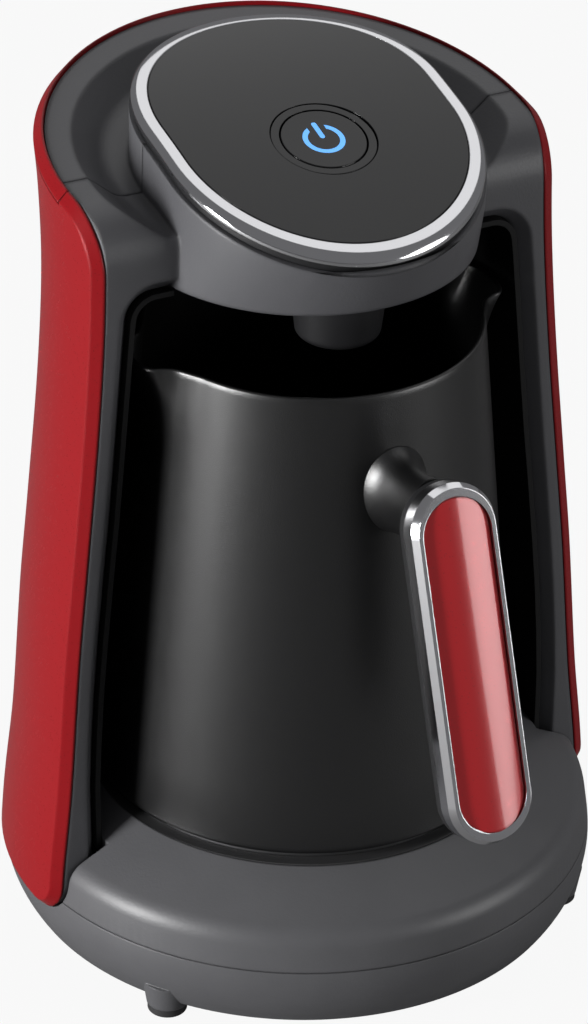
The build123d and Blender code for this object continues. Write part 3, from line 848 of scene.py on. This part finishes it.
@dataclass(frozen=True)
class Top:
    """Sizes of the head under its arched top, in millimetres."""

    bottom: float = 185.1
    bottom_radius: float = 42.9
    bottom_y: float = 8.1
    lip: float = 199.0
    radius: float = 39.9
    front_y: float = -0.9
    back_y: float = 12.0
    crown: float = 275.0
    apex_y: float = 67.4
    apex: float = 224.2
    ring_width: float = 4.2
    ring_depth: float = 2.4
    ring_bevel: float = 1.4
    tray_depth: float = 2.2
    tray_inset: float = 0.9
    lip_flare: float = 0.25
    half_steps: int = 72
    straight_steps: int = 10
    button_y: float = -2.8
    bore_span: Flat = (-20.0, 5.0)

    @property
    def foot_ends(self) -> Flat:
        """Centres of the two round ends of the head's foot."""
        return self.bottom_y - 1, self.bottom_y + 1

    def height(self, y: float, drop: float = 0.0) -> float:
        """Height of the arched top at a y, less a drop."""
        reach = self.crown - drop
        return self.apex - self.crown + sqrt(reach ** 2 - (y - self.apex_y) ** 2)

    def loop(self, radius: float, height: float | None = None, drop: float = 0.0,
             ends: Flat | None = None) -> list[Point]:
        """Outline with round ends.

        Args:
            radius: Radius of the ends.
            height: Its level, or nothing for the arched top.
            drop: Distance under the arched top.
            ends: Centres of the two ends.

        Returns:
            The points in order.
        """
        front, back = ends or (self.front_y, self.back_y)
        half, straight = self.half_steps, self.straight_steps
        plan = [(radius * cos(pi * k / half - pi), front + radius * sin(pi * k / half - pi))
                for k in range(half + 1)]
        plan += [(radius, front + (back - front) * k / straight) for k in range(1, straight)]
        plan += [(radius * cos(pi * k / half), back + radius * sin(pi * k / half)) for k in range(half + 1)]
        plan += [(-radius, back + (front - back) * k / straight) for k in range(1, straight)]
        return [(x, y, self.height(y, drop) if height is None else height) for x, y in plan]

    def head(self, inset: float, drop: float) -> Solid:
        """Head with leaning skirt and upright lip.

        Args:
            inset: How far inside the outer face.
            drop: Distance of its end under the arched top.

        Returns:
            The solid.
        """
        radius = self.radius + self.lip_flare - inset
        return Solid.lofted([self.loop(self.bottom_radius - inset, self.bottom, 0, self.foot_ends),
                             self.loop(radius, self.lip), self.loop(radius, None, drop)])

    def band(self, outline: list[Flat]) -> Solid:
        """Ring of a closed outline of radius and drop, following the top."""
        return Solid.lofted([self.loop(radius, None, drop) for radius, drop in outline], closed=True)

    def button_bore(self, radius: float) -> Solid:
        """Bore for the button, square to the arched top.

        Args:
            radius: Its radius.

        Returns:
            The solid.
        """
        lean = asin((self.apex_y - self.button_y) / self.crown)
        place = Matrix.Translation((0, self.button_y, self.height(self.button_y)))
        return Solid.disc(radius, *self.bore_span).moved(place @ Matrix.Rotation(lean, 4, "X"))


class Skin:
    """Coloured shell of the housing, one grid cut into panels and a rim band."""

    COLUMNS = (0.0, 2.3, 3.2, 4.5, 6.0, 7.5, 9.0, 10.5, 12.3, 14.0)
    ROWS = (0.0, 2.3, 2.85, 3.15, 4.5, 6.0, 7.5, 9.0, 10.5, 12.3, 14.0)
    FEET = (9.0, 7.5, 6.0, 4.5, 3.2, 2.3, 0.0)
    CHAMFER = 2.3
    BAND_Y = 9.6
    BACK_HALF = 29.0
    BAND_ROWS = 2           # rows of the grid that the band takes
    PANEL_ROW = 3           # row at which the panels start under it
    FIRST, SECOND, BACK, MIDDLE = 10, 24, 10, 44    # grid steps of each stretch
    AWAY = 99.0             # distance that stands for far from an edge
    START = 110.0           # height at which the search for a point's height starts
    PASSES = 8              # steps of that search

    def __init__(self, shape: Shape) -> None:
        """Lays out the grid.

        Args:
            shape: Sizes of the housing.
        """
        self.shape = shape
        half = [(Stretch.EDGE, value) for value in self.COLUMNS]
        half += [(Stretch.FIRST, (k + 1) / self.FIRST) for k in range(self.FIRST)]
        self.seam = len(half) - 1
        half += [(Stretch.SECOND, k / self.SECOND) for k in range(self.SECOND + 1)]
        self.back = len(half) - 1
        half += [(Stretch.BACK, k / self.BACK) for k in range(self.BACK + 1)]
        self.columns = [(-1, item) for item in half] + [(1, item) for item in half[-2::-1]]
        self.rows = [(Stretch.RIM, value) for value in self.ROWS]
        self.rows += [(Stretch.MIDDLE, k / self.MIDDLE) for k in range(1, self.MIDDLE)]
        self.rows += [(Stretch.FOOT, value) for value in self.FEET]
        self.last = len(self.columns) - 2

    @staticmethod
    def corner(across: float, along: float, radius: float) -> Flat:
        """Distances from two edges, bent round the corner between them.

        Args:
            across: Distance from the upright edge.
            along: Distance from the level edge.
            radius: Radius of the corner.

        Returns:
            The two distances after bending.
        """
        if across >= radius or along >= radius:
            return across, along
        depth = min(across, along)
        if across <= along:
            angle = pi / 4 * (radius - along) / (radius - depth)
        else:
            angle = pi / 2 - pi / 4 * (radius - across) / (radius - depth)
        reach = radius - depth
        return radius - reach * cos(angle), radius - reach * sin(angle)

    def turn(self, stretch: Stretch, value: float, across: float, height: float) -> float:
        """Angle of a grid column at a height, from the front round the side.

        Args:
            stretch: Part of the grid that the column is in.
            value: Its share of that part.
            across: Its distance from the front edge.
            height: The height.

        Returns:
            The angle.
        """
        shape = self.shape
        radius, centre = shape.circle(height)
        front = acos((centre - shape.front(height)) / radius)
        start = front + self.COLUMNS[-1] / radius
        seam = acos((centre - self.BAND_Y) / radius)
        rear = pi - asin(self.BACK_HALF / radius)
        half_gap = shape.gap / 2 / radius
        if stretch is Stretch.EDGE:
            return front + across / radius
        if stretch is Stretch.FIRST:
            return start + (seam - half_gap - start) * value
        if stretch is Stretch.SECOND:
            return seam + half_gap + (rear - half_gap - seam - half_gap) * value
        return rear + half_gap + (pi - rear - half_gap) * value

    def point(self, column: tuple[int, Mark], row: Mark, inner: bool) -> Point:
        """Place of one grid point.

        Args:
            column: Side, and stretch and value of the column.
            row: Stretch and value of the row.
            inner: Whether it is on the inner face.

        Returns:
            The point.
        """
        shape = self.shape
        side, (stretch, value) = column
        level, fall = row
        across = value if stretch is Stretch.EDGE else self.AWAY
        down = fall if level is Stretch.RIM else self.AWAY
        up = fall if level is Stretch.FOOT else self.AWAY
        inset = shape.skin if inner else max(0.0, self.CHAMFER - min(across, down, up))
        if stretch is Stretch.EDGE and level is Stretch.RIM:
            across, down = self.corner(across, down, shape.rim_round)
        if stretch is Stretch.EDGE and level is Stretch.FOOT:
            across, up = self.corner(across, up, shape.foot_round)
        height, angle = self.START, 0.0
        for _ in range(self.PASSES):
            radius, centre = shape.circle(height)
            angle = self.turn(stretch, value, across, height)
            rim = shape.rim(centre - radius * cos(angle))
            if level is Stretch.RIM:
                height = rim - down
            elif level is Stretch.FOOT:
                height = shape.foot + up
            else:
                low, high = shape.foot + self.FEET[0], rim - self.ROWS[-1]
                height = high + (low - high) * fall
        radius, centre = shape.circle(height)
        reach = radius - inset
        return side * reach * sin(angle), centre - reach * cos(angle), height

    def cut(self, keep: Callable[[int, int], bool]) -> Solid:
        """Shell of the grid cells that a rule keeps.

        Args:
            keep: Says whether the cell of a column and a row is in.

        Returns:
            The solid.
        """
        cells = {(c, r) for c in range(self.last + 1) for r in range(len(self.rows) - 1) if keep(c, r)}
        numbers: dict[tuple[int, int, bool], int] = {}
        points: list[Point] = []

        def number(column: int, row: int, inner: bool) -> int:
            """Number of a grid point, made when first asked for.

            Args:
                column: Its column.
                row: Its row.
                inner: Whether it is on the inner face.

            Returns:
                The number.
            """
            key = (column, row, inner)
            if key not in numbers:
                numbers[key] = len(points)
                points.append(self.point(self.columns[column], self.rows[row], inner))
            return numbers[key]

        faces: list[tuple[int, ...]] = []
        for c, r in cells:
            corners = ((c, r), (c + 1, r), (c + 1, r + 1), (c, r + 1))
            faces.append(tuple(number(*spot, False) for spot in corners))
            faces.append(tuple(number(*spot, True) for spot in reversed(corners)))
            beside = ((c, r - 1), (c + 1, r), (c, r + 1), (c - 1, r))
            for index, cell in enumerate(beside):
                if cell not in cells:
                    a, b = corners[index], corners[(index + 1) % 4]
                    faces.append((number(*b, False), number(*a, False), number(*a, True), number(*b, True)))
        return Solid.of(points, faces)

    def band(self) -> Solid:
        """Strip along the rim, round the back from seam to seam."""
        return self.cut(lambda c, r: r < self.BAND_ROWS and self.seam < c < self.last - self.seam)

    def panel(self, side: int) -> Solid:
        """Side panel, left for -1 and right for 1."""
        def keep(column: int, row: int) -> bool:
            """Whether a cell is in the panel."""
            own = column if side < 0 else self.last - column
            return own < self.seam or (own < self.back and row >= self.PANEL_ROW)
        return self.cut(keep)

    def rear(self) -> Solid:
        """Panel down the middle of the back."""
        return self.cut(lambda c, r: r >= self.PANEL_ROW and self.back < c < self.last - self.back)


@dataclass(frozen=True)
class Vessel:
    """Sizes of the pot's wall and spouts, in millimetres."""

    foot: float = 44.5
    rim: float = 165.3
    seat: float = 42.5
    foot_radius: float = 54.3
    rim_radius: float = 42.3
    wall: float = 1.3
    foot_round: float = 2.4
    recess: float = 5.9
    skirt: float = 42.6
    heights: tuple[float, ...] = (60, 75, 90, 105, 120, 130, *(138 + 1.3 * k for k in range(21)))
    spout_depth: float = 25.0
    spout: tuple[Flat, ...] = (
        (40.6, 14.2), (42.7, 11.2), (45.4, 9.5), (47.9, 8.4), (49.6, 5.3), (50.1, 0.0))
    spout_start: float = 24.0
    spout_lead: float = 5.0
    spout_power: float = 2.2
    knot_steps: int = 6
    round_steps: int = 40
    curl_angles: tuple[float, ...] = (0, 25, 50, 70, 90)
    lip: tuple[Flat, ...] = ((0.3, 0.12), (0.5, 0.4))

    def plan(self) -> list[tuple[Flat, Flat]]:
        """Points of the rim, each with its direction on the round wall.

        Returns:
            Place and direction of each point, in order.
        """
        knots = [(self.rim_radius * cos(radians(a)), self.rim_radius * sin(radians(a)))
                 for a in (self.spout_start + self.spout_lead, self.spout_start)] + list(self.spout)
        knots.append((knots[-2][0], -knots[-2][1]))
        curve: list[Flat] = []
        for i in range(1, len(knots) - 2):
            a, b, c, d = (Vector(k) for k in knots[i - 1:i + 3])
            for step in range(self.knot_steps):
                t = step / self.knot_steps
                curve.append(tuple(0.5 * (2 * b + (c - a) * t + (2 * a - 5 * b + 4 * c - d) * t**2
                                          + (3 * b - a - 3 * c + d) * t**3)))
        curve.append(self.spout[-1])
        last = len(curve) - 1
        quarter = []
        for step in range(self.round_steps):
            angle = radians(90 - (90 - self.spout_start) * step / self.round_steps)
            spot = (self.rim_radius * cos(angle), self.rim_radius * sin(angle))
            quarter.append((spot, (cos(angle), sin(angle))))
        for number, spot in enumerate(curve):
            angle = radians(self.spout_start * (1 - number / last))
            quarter.append((spot, (cos(angle), sin(angle))))
        right = quarter + [((x, -y), (u, -v)) for (x, y), (u, v) in quarter[-2::-1]]
        return right + [((-x, y), (-u, v)) for (x, y), (u, v) in right[-2:0:-1]]

    def row(self, height: float, inset: float) -> list[Point]:
        """Outline of the wall at a height.

        Args:
            height: Its height.
            inset: How far it is moved in.

        Returns:
            The points in order.
        """
        share = (height - self.seat) / (self.rim - self.seat)
        radius = self.foot_radius + (self.rim_radius - self.foot_radius) * share
        part = max(0.0, 1 - (self.rim - height) / self.spout_depth)
        pull = min(part, 1.0) ** self.spout_power
        spots = [Vector((radius * u + (x - self.rim_radius * u) * pull,
                         radius * v + (y - self.rim_radius * v) * pull)) for (x, y), (u, v) in self.plan()]
        row = []
        for number, spot in enumerate(spots):
            run = spots[(number + 1) % len(spots)] - spots[number - 1]
            inward = Vector((-run.y, run.x)).normalized()
            if inward.dot(spot) > 0:
                inward = -inward
            place = spot + inward * inset
            row.append((place.x, place.y, height))
        return row

    def body(self) -> Solid:
        """Pot with its floor, wall and spouts.

        Returns:
            The solid.
        """
        curl = self.foot_round
        rows = [self.row(height, self.recess) for height in (self.foot, self.skirt)]
        for angle in self.curl_angles:
            rows.append(self.row(self.skirt + curl * (1 - cos(radians(angle))),
                                 curl * (1 - sin(radians(angle)))))
        rows += [self.row(height, 0.0) for height in (*self.heights, self.rim)]
        rows += [self.row(self.rim + rise, inset) for rise, inset in self.lip]
        rows += [self.row(self.rim + rise, self.wall - inset) for rise, inset in reversed(self.lip)]
        inside = [self.rim, *reversed(self.heights), self.foot + self.wall]
        rows += [self.row(height, self.wall) for height in inside]
        return Solid.lofted(rows)


class Dresser:
    """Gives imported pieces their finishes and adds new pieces."""

    def __init__(self, frame: dict[str, Any]) -> None:
        """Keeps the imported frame.
        """
        self.nodes: dict[str, bpy.types.Object] = frame["nodes"]
        self.made: dict[str, bpy.types.Material] = {}

    def finish(self, finish: Finish) -> bpy.types.Material:
        """Material of a finish, made once."""
        if finish.name not in self.made:
            self.made[finish.name] = finish.build()
        return self.made[finish.name]

    def dress(self, finish: Finish, *names: str) -> None:
        """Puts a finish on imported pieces.

        Args:
            finish: The finish.
            *names: Node names.
        """
        for name in names:
            mesh = self.nodes[name].data
            mesh.materials.clear()
            mesh.materials.append(self.finish(finish))
            log.info("%s: %s", name, finish.name)

    def place(self, solid: Solid, name: str, finish: Finish, slot: str, *replaced: str,
              body: Body = Body.HOUSING, sharp: float = 24.0) -> None:
        """Adds a new piece in place of packed ones.

        Args:
            solid: Its form.
            name: Its name.
            finish: Its finish.
            slot: The record's material slot; not used.
            *replaced: Node names that it stands for.
            body: Body that carries it.
            sharp: Angle in degrees from which an edge stays sharp.
        """
        mesh = solid.mesh
        mesh.transform(Matrix.Translation((0, AXIS_Y / 1000, 0)) @ Matrix.Scale(0.001, 4))
        mesh.name = name
        mesh.shade_smooth()
        mesh.set_sharp_from_angle(angle=radians(sharp))
        mesh.materials.clear()
        mesh.materials.append(self.finish(finish))
        piece = added(name, mesh)
        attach(piece, body.value)
        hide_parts(*replaced)
        log.info("%s: %s, %d faces", name, finish.name, len(mesh.polygons))


@dataclass
class Base:
    """Base with its feet, heating plate and the parts inside it."""

    dresser: Dresser
    shape: Shape = Shape()
    feet: tuple[str, ...] = ("front_left", "front_right", "rear_left", "rear_right")
    axis_y: float = 1.4
    floor: float = 4.5
    wall: float = 2.4
    radius: float = 75.5
    floor_radius: float = 71.3
    bulge: Flat = (74.6, 11.0)
    bulge_rates: tuple[float, float, float, float] = (2.6, 0.2367, 0.385, 0.615)
    bulge_steps: int = 12
    side_top: float = 90.0
    crease: Flat = (74.0, 31.5)
    crease_round: float = 7.0
    hole: float = 54.9
    core: float = 27.0
    slope: float = 0.51
    cheek: float = 2.0
    screws: tuple[Flat, ...] = ((-22, -60), (22, -60), (-52, 30), (52, 30))
    screw_bore: Flat = (2.85, 8.0)
    foot_reach: float = 68.6
    foot_angle: float = 55.0
    foot_shift: float = 1.35
    post: tuple[Flat, Flat] = ((5.25, 2.4), (6.4, 9.5))
    seal: tuple[Flat, ...] = ((51.2, 36.9), (54.7, 36.9), (54.7, 40.9), (51.2, 40.9))

    def form(self, inset: float = 0.0) -> Solid:
        """Bulging outer form of the base, inside two circles at every height.

        Args:
            inset: How far inside the outer face.

        Returns:
            The solid.
        """
        fall, middle_rate, start, rise = self.bulge_rates
        outline = [(self.floor_radius, self.floor + inset)]
        for step in range(1, self.bulge_steps + 1):
            t = step / self.bulge_steps
            low, mid, high = (1 - t) * (1 - fall * t), t * (1 - t) / middle_rate, t * (t - start) / rise
            outline.append((low * self.floor_radius + mid * self.bulge[0] + high * self.radius,
                            low * (self.floor + inset) + mid * self.bulge[1] + high * self.shape.seam))
        outline.append((self.radius, self.side_top))
        middle = (self.axis_y + self.shape.foot_y) / 2
        rows = []
        for radius, height in outline:
            circles = ((radius - inset, self.axis_y - middle),
                       (radius - inset + self.shape.foot_radius - self.radius, self.shape.foot_y - middle))
            row = []
            for k in range(TURN):
                angle = tau * k / TURN
                reach = min(sqrt(r * r - (y * sin(angle)) ** 2) - y * cos(angle) for r, y in circles)
                row.append((reach * sin(angle), middle - reach * cos(angle), height))
            rows.append(row)
        return Solid.lofted(rows)

    def top(self, inset: float) -> Solid:
        """Sloping top, soft crease and upright side, open in the middle.

        Args:
            inset: How far inside the outer face.

        Returns:
            The solid.
        """
        foot = self.shape.seam + self.shape.gap - inset
        high = self.crease[1] + self.slope * (self.crease[0] - self.hole) - inset
        outline = rounded([(self.core, foot), (self.radius - inset, foot),
                           (self.crease[0] - inset, self.crease[1] - inset),
                           (self.hole, high), (self.core, high)], {2: self.crease_round - inset})
        return Solid.turned(outline, self.axis_y, closed=True)

    def tub(self) -> Solid:
        """Lower moulding with its foot posts and screw holes.

        Returns:
            The solid.
        """
        shape = self.shape
        side = self.foot_reach * sin(radians(self.foot_angle))
        reach = self.foot_reach * cos(radians(self.foot_angle))
        tub = self.form() - self.form(self.wall)
        tub = tub & Solid.slab((-FAR, -FAR, 0), (FAR, FAR, shape.seam))
        tub = tub - shape.arch(-shape.gap, shape.foot - shape.gap)
        for x in (-side, side):
            for y in (-reach + self.foot_shift, reach + self.foot_shift):
                tub = tub + Solid.turned(self.post).moved(Matrix.Translation((x, y, 0)))
        radius, top = self.screw_bore
        return tub - Solid.group([Solid.disc(radius, 0.0, top, x, y) for x, y in self.screws])

    def cover(self) -> Solid:
        """Upper moulding of the base.

        Returns:
            The solid.
        """
        shape = self.shape
        cover = self.top(0.0) - self.top(self.wall) - Solid.disc(self.hole, 0.0, self.side_top)
        wings = shape.arch(-shape.gap, shape.foot - shape.gap) - shape.bay(self.cheek, 0.0)
        return (cover & self.form()) - wings

    def build(self) -> None:
        """Adds and dresses every piece of the base."""
        dress, place = self.dresser.dress, self.dresser.place
        place(self.tub(), "tub_shell", GREY_BASE, "grey", "base_tub")
        place(self.cover(), "cover_shell", GREY_BASE, "grey", "base_cover")
        place(Solid.turned(self.seal, closed=True), "seal_ring", RUBBER, "rubber", "plate_seal")
        dress(RUBBER, *("foot_" + corner for corner in self.feet))
        dress(ALUMINIUM, "hot_plate")
        dress(STEEL, "base_screws", "element_yoke", "thermostat", "thermal_fuse", "heating_element")
        dress(DARK, "cord_gland")
        dress(BOARD, "control_board")
        dress(COMPONENT, "power_relay", "buzzer", "smoothing_capacitor")


@dataclass
class Housing:
    """Grey frame and cover, coloured panels and black liner."""

    dresser: Dresser
    shape: Shape = Shape()
    head: Top = Top()
    cheek: float = 2.0
    gland_height: float = 15.2
    gland_bore: float = 7.9
    gland_span: Flat = (50.0, 95.0)
    button_bore: float = 11.8
    liner_faces: Flat = (0.15, 1.55)
    liner_foot: float = 22.2
    liner_inset: float = 1.0
    column_gap: float = 0.3
    column_span: Flat = (182.1, 230.0)
    screw_x: float = 19.0
    screw_heights: Flat = (45.0, 185.0)
    screw_seat: float = 1.6
    screw_sunk: float = 0.3
    screw_head: float = 2.6
    screw_shank: Flat = (1.35, 7.0)
    seat_bore: Flat = (2.85, 5.0)
    shank_bore: Flat = (1.55, 9.0)
    overlap: float = 0.1

    @staticmethod
    def rearward(radius: float, low: float, high: float, x: float, height: float) -> Solid:
        """Cylinder that runs to the back between two y values.

        Args:
            radius: Its radius.
            low: Y of its front end.
            high: Y of its back end.
            x: X of its axis.
            height: Height of its axis.

        Returns:
            The solid.
        """
        turn = Matrix.Translation((x, 0, height)) @ Matrix.Rotation(radians(-90), 4, "X")
        return Solid.disc(radius, low, high).moved(turn)

    def moulding(self) -> Solid:
        """Grey shell: arch, shoulders, cheeks and head skirt.

        Returns:
            The solid.
        """
        shape, head = self.shape, self.head
        skin = shape.skin + shape.gap
        drop = head.ring_depth + head.tray_depth
        body = shape.envelope(skin) & shape.arch(shape.front_inset)
        body = body - shape.bowl() - shape.bay(0.0, 0.0, shape.bay_flare)
        void = shape.envelope(skin + shape.wall) & shape.arch(shape.front_inset + shape.wall, 0.0)
        cheeks = shape.bay(-self.cheek, 0.0) & Solid.slab((-FAR, -FAR, -FAR), (FAR, shape.split_y, FAR))
        void = void - shape.bowl(shape.wall, shape.wall / 2) - cheeks
        return body + head.head(0.0, drop) - void - head.head(shape.wall, drop + shape.wall)

    def liner(self) -> Solid:
        """Black inner face of the bay.

        Returns:
            The solid.
        """
        shape, head = self.shape, self.head
        outer, inner = self.liner_faces
        liner = shape.bay(outer, self.liner_foot) - shape.bay(inner, 0.0)
        liner = liner & shape.arch(shape.front_inset + self.liner_inset, 0.0)
        column = [head.loop(head.bottom_radius + self.column_gap, height, 0, head.foot_ends)
                  for height in self.column_span]
        return liner - Solid.lofted(column)

    def screws(self) -> tuple[Solid, Solid, Solid]:
        """Screws of the rear cover, with what is cut for them.

        Returns:
            The screws, the bores of their shanks and the seats of their heads.
        """
        heads, seats, bores = [], [], []
        for x in (-self.screw_x, self.screw_x):
            for height in self.screw_heights:
                radius, centre = self.shape.circle(height)
                reach = centre + sqrt(radius ** 2 - x ** 2)
                seat = reach - self.screw_seat
                heads.append(self.rearward(self.screw_head, seat, reach - self.screw_sunk, x, height))
                heads.append(self.rearward(self.screw_shank[0], seat - self.screw_shank[1], seat, x, height))
                seats.append(self.rearward(self.seat_bore[0], seat, reach + self.seat_bore[1], x, height))
                bores.append(self.rearward(self.shank_bore[0], seat - self.shank_bore[1],
                                           seat + self.overlap, x, height))
        return Solid.group(heads), Solid.group(bores), Solid.group(seats)

    def build(self) -> None:
        """Adds and dresses every piece of the housing."""
        shape, place = self.shape, self.dresser.place
        edge = shape.gap / 2
        moulding = self.moulding()
        frame = moulding & Solid.slab((-FAR, -FAR, -FAR), (FAR, shape.split_y - edge, FAR))
        frame = frame - self.head.button_bore(self.button_bore)
        place(frame, "frame_shell", GREY, "grey", "front_frame")
        cover = moulding & Solid.slab((-FAR, shape.split_y + edge, -FAR), (FAR, FAR, FAR))
        heads, bores, seats = self.screws()
        bores = Solid.group([self.rearward(self.gland_bore, *self.gland_span, 0.0, self.gland_height),
                             bores])
        place(cover - bores, "rear_shell", GREY, "grey", "rear_cover")
        place(self.liner(), "liner_shell", LINER, "dark_plastic", "bay_liner")
        skin = Skin(shape)
        place(skin.panel(-1), "left_panel", RED, "red", "left_side_panel")
        place(skin.panel(1), "right_panel", RED, "red", "right_side_panel")
        place(skin.band(), "rim_strip", RED, "red", "rim_band")
        place(skin.rear() - bores - seats, "rear_panel", DARK, "dark_plastic", "back_panel")
        place(heads, "rear_screws", STEEL, "steel", "back_screws")
        self.dresser.dress(DARK, "head_floor")


@dataclass
class Head:
    """Ring, panel, button and the sensor under the head."""

    dresser: Dresser
    top: Top = Top()
    tray_bore: float = 13.2
    ease: float = 0.12
    bevel_bend: float = 0.15
    inner_edge: Flat = (0.25, 0.2)

    def build(self) -> None:
        """Adds and dresses every piece of the head."""
        dress, place, top = self.dresser.dress, self.dresser.place, self.top
        outer, inner = top.radius, top.radius - top.ring_width
        deep, bevel, ease = top.ring_depth, top.ring_bevel, self.ease
        outline = [(outer, deep), (outer, bevel + self.bevel_bend), (outer - ease, bevel - ease),
                   (outer - bevel + ease, ease), (outer - bevel - self.bevel_bend, 0.0),
                   (inner + self.inner_edge[0], 0.0), (inner, self.inner_edge[1]), (inner, deep)]
        place(top.band(outline), "top_ring", CHROME, "bright_trim", "chrome_ring", sharp=30)
        rim = outer - top.tray_inset
        tray = Solid.lofted([top.loop(rim, None, deep + top.tray_depth), top.loop(rim, None, deep)])
        tray = tray - top.button_bore(self.tray_bore)
        place(tray, "panel_tray", DARK, "dark_plastic", "panel_carrier")
        dress(PANEL, "control_panel", "power_button", "button_bezel")
        dress(LIGHT, "power_symbol")
        dress(DARK, "sensor_nose")
        dress(LENS, "sensor_lens")
        dress(BOARD, "button_board", "sensor_board")
        dress(COMPONENT, "button_switch")
        dress(STEEL, "button_board_screws")


@dataclass
class Pot:
    """Pot with its handle."""

    dresser: Dresser
    vessel: Vessel = Vessel()

    def build(self) -> None:
        """Adds and dresses every piece of the pot."""
        dress = self.dresser.dress
        self.dresser.place(self.vessel.body(), "pot_shell", POT_COAT, "pot_coat", "pot_body",
                           body=Body.POT, sharp=40)
        dress(ALUMINIUM, "pot_disc")
        dress(POT_COAT, "handle_neck")
        dress(GRIP, "handle_grip")
        dress(CHROME, "handle_frame")
        dress(RED_INLAY, "handle_inlay")


@dataclass
class Studio:
    """Pale floor, soft lights and the camera."""

    azimuth: float = -28.05
    elevation: float = 30.68
    roll: float = 1.59
    camera_place: Point = (-0.484083, -0.888435, 0.716706)
    focal_pixels: float = 4757.82
    image_height: float = 1024.0
    sensor: float = 36.0
    floor_size: float = 6.0
    floor_shades: tuple[Colour, Colour] = ((0.21, 0.21, 0.21), (0.23, 0.23, 0.23))
    floor_glow: float = 0.93
    sky: Colour = (0.16, 0.16, 0.165)
    aim: Point = (0.0, 0.0, 0.1)
    lamps: tuple[tuple[str, Point, float, float, float], ...] = (
        ("left_softbox", (-1.15, -0.05, 0.26), 0.32, 0.75, 23.0),
        ("right_softbox", (1.0, -1.05, 0.34), 0.85, 0.85, 8.0),
        ("top_softbox", (0.55, 0.65, 1.6), 2.2, 2.2, 9.0),
    )

    def camera(self) -> None:
        """Places the camera."""
        turn, tilt, roll = (radians(a) for a in (self.azimuth, self.elevation, self.roll))
        back = Vector((sin(turn) * cos(tilt), -cos(turn) * cos(tilt), sin(tilt)))
        right = (-back).cross(Vector((0, 0, 1))).normalized()
        up = right.cross(-back)
        across = cos(roll) * right + sin(roll) * up
        upward = -sin(roll) * right + cos(roll) * up
        data = bpy.data.cameras.new("camera")
        data.sensor_fit = "VERTICAL"
        data.sensor_height = self.sensor
        data.lens = self.focal_pixels * self.sensor / self.image_height
        data.clip_end = 20.0
        camera = added("camera", data)
        rows = Matrix((across, upward, back)).transposed()
        camera.matrix_world = Matrix.Translation(self.camera_place) @ rows.to_4x4()
        bpy.context.scene.camera = camera

    def lights(self) -> None:
        """Adds the softboxes, each facing the object."""
        for name, place, width, height, power in self.lamps:
            data = bpy.data.lights.new(name, "AREA")
            data.shape = "ELLIPSE"
            data.size, data.size_y = width, height
            data.energy = power
            lamp = added(name, data)
            lamp.location = place
            way = Vector(self.aim) - Vector(place)
            lamp.rotation_euler = way.to_track_quat("-Z", "Y").to_euler()

    def backdrop(self) -> None:
        """Adds the floor and the world."""
        recipe = Recipe("pale_floor")
        cloud = recipe.noise(2.0)
        recipe.shade("Base Color", recipe.blend(cloud, *self.floor_shades))
        recipe.shade("Roughness", 0.9)
        paths = recipe.add("ShaderNodeLightPath")
        glow = recipe.add("ShaderNodeEmission", Strength=1.0)
        mixer = recipe.add("ShaderNodeMixShader")
        seen = Wire(recipe.tree, paths.outputs["Is Camera Ray"])
        recipe.feed(mixer, "Fac", seen * self.floor_glow)
        recipe.tree.links.new(recipe.surface.outputs[0], mixer.inputs[1])
        recipe.tree.links.new(glow.outputs[0], mixer.inputs[2])
        recipe.tree.links.new(mixer.outputs[0], recipe.output.inputs["Surface"])
        half = self.floor_size / 2
        mesh = bpy.data.meshes.new("floor")
        mesh.from_pydata([(-half, -half, 0), (half, -half, 0), (half, half, 0), (-half, half, 0)],
                         [], [(0, 1, 2, 3)])
        mesh.materials.append(recipe.material)
        floor = added("floor", mesh)
        world = bpy.data.worlds.new("studio")
        world.use_nodes = True
        bpy.context.scene.world = world
        nodes, links = world.node_tree.nodes, world.node_tree.links
        paths = nodes.new("ShaderNodeLightPath")
        mixer = nodes.new("ShaderNodeMix")
        mixer.data_type = "RGBA"
        mixer.inputs[6].default_value = (*self.sky, 1.0)
        mixer.inputs[7].default_value = (1.0, 1.0, 1.0, 1.0)
        links.new(paths.outputs["Is Camera Ray"], mixer.inputs[0])
        links.new(mixer.outputs[2], nodes["Background"].inputs["Color"])

    def build(self) -> None:
        """Sets up the whole studio."""
        bpy.context.scene.view_settings.view_transform = "Standard"
        self.backdrop()
        self.lights()
        self.camera()


def main() -> None:
    """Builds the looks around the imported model."""
    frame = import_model()
    dresser = Dresser(frame)
    for assembly in (Base(dresser), Housing(dresser), Head(dresser), Pot(dresser), Studio()):
        assembly.build()
        log.info("built %s", type(assembly).__name__)


if __name__ == "__main__":
    main()
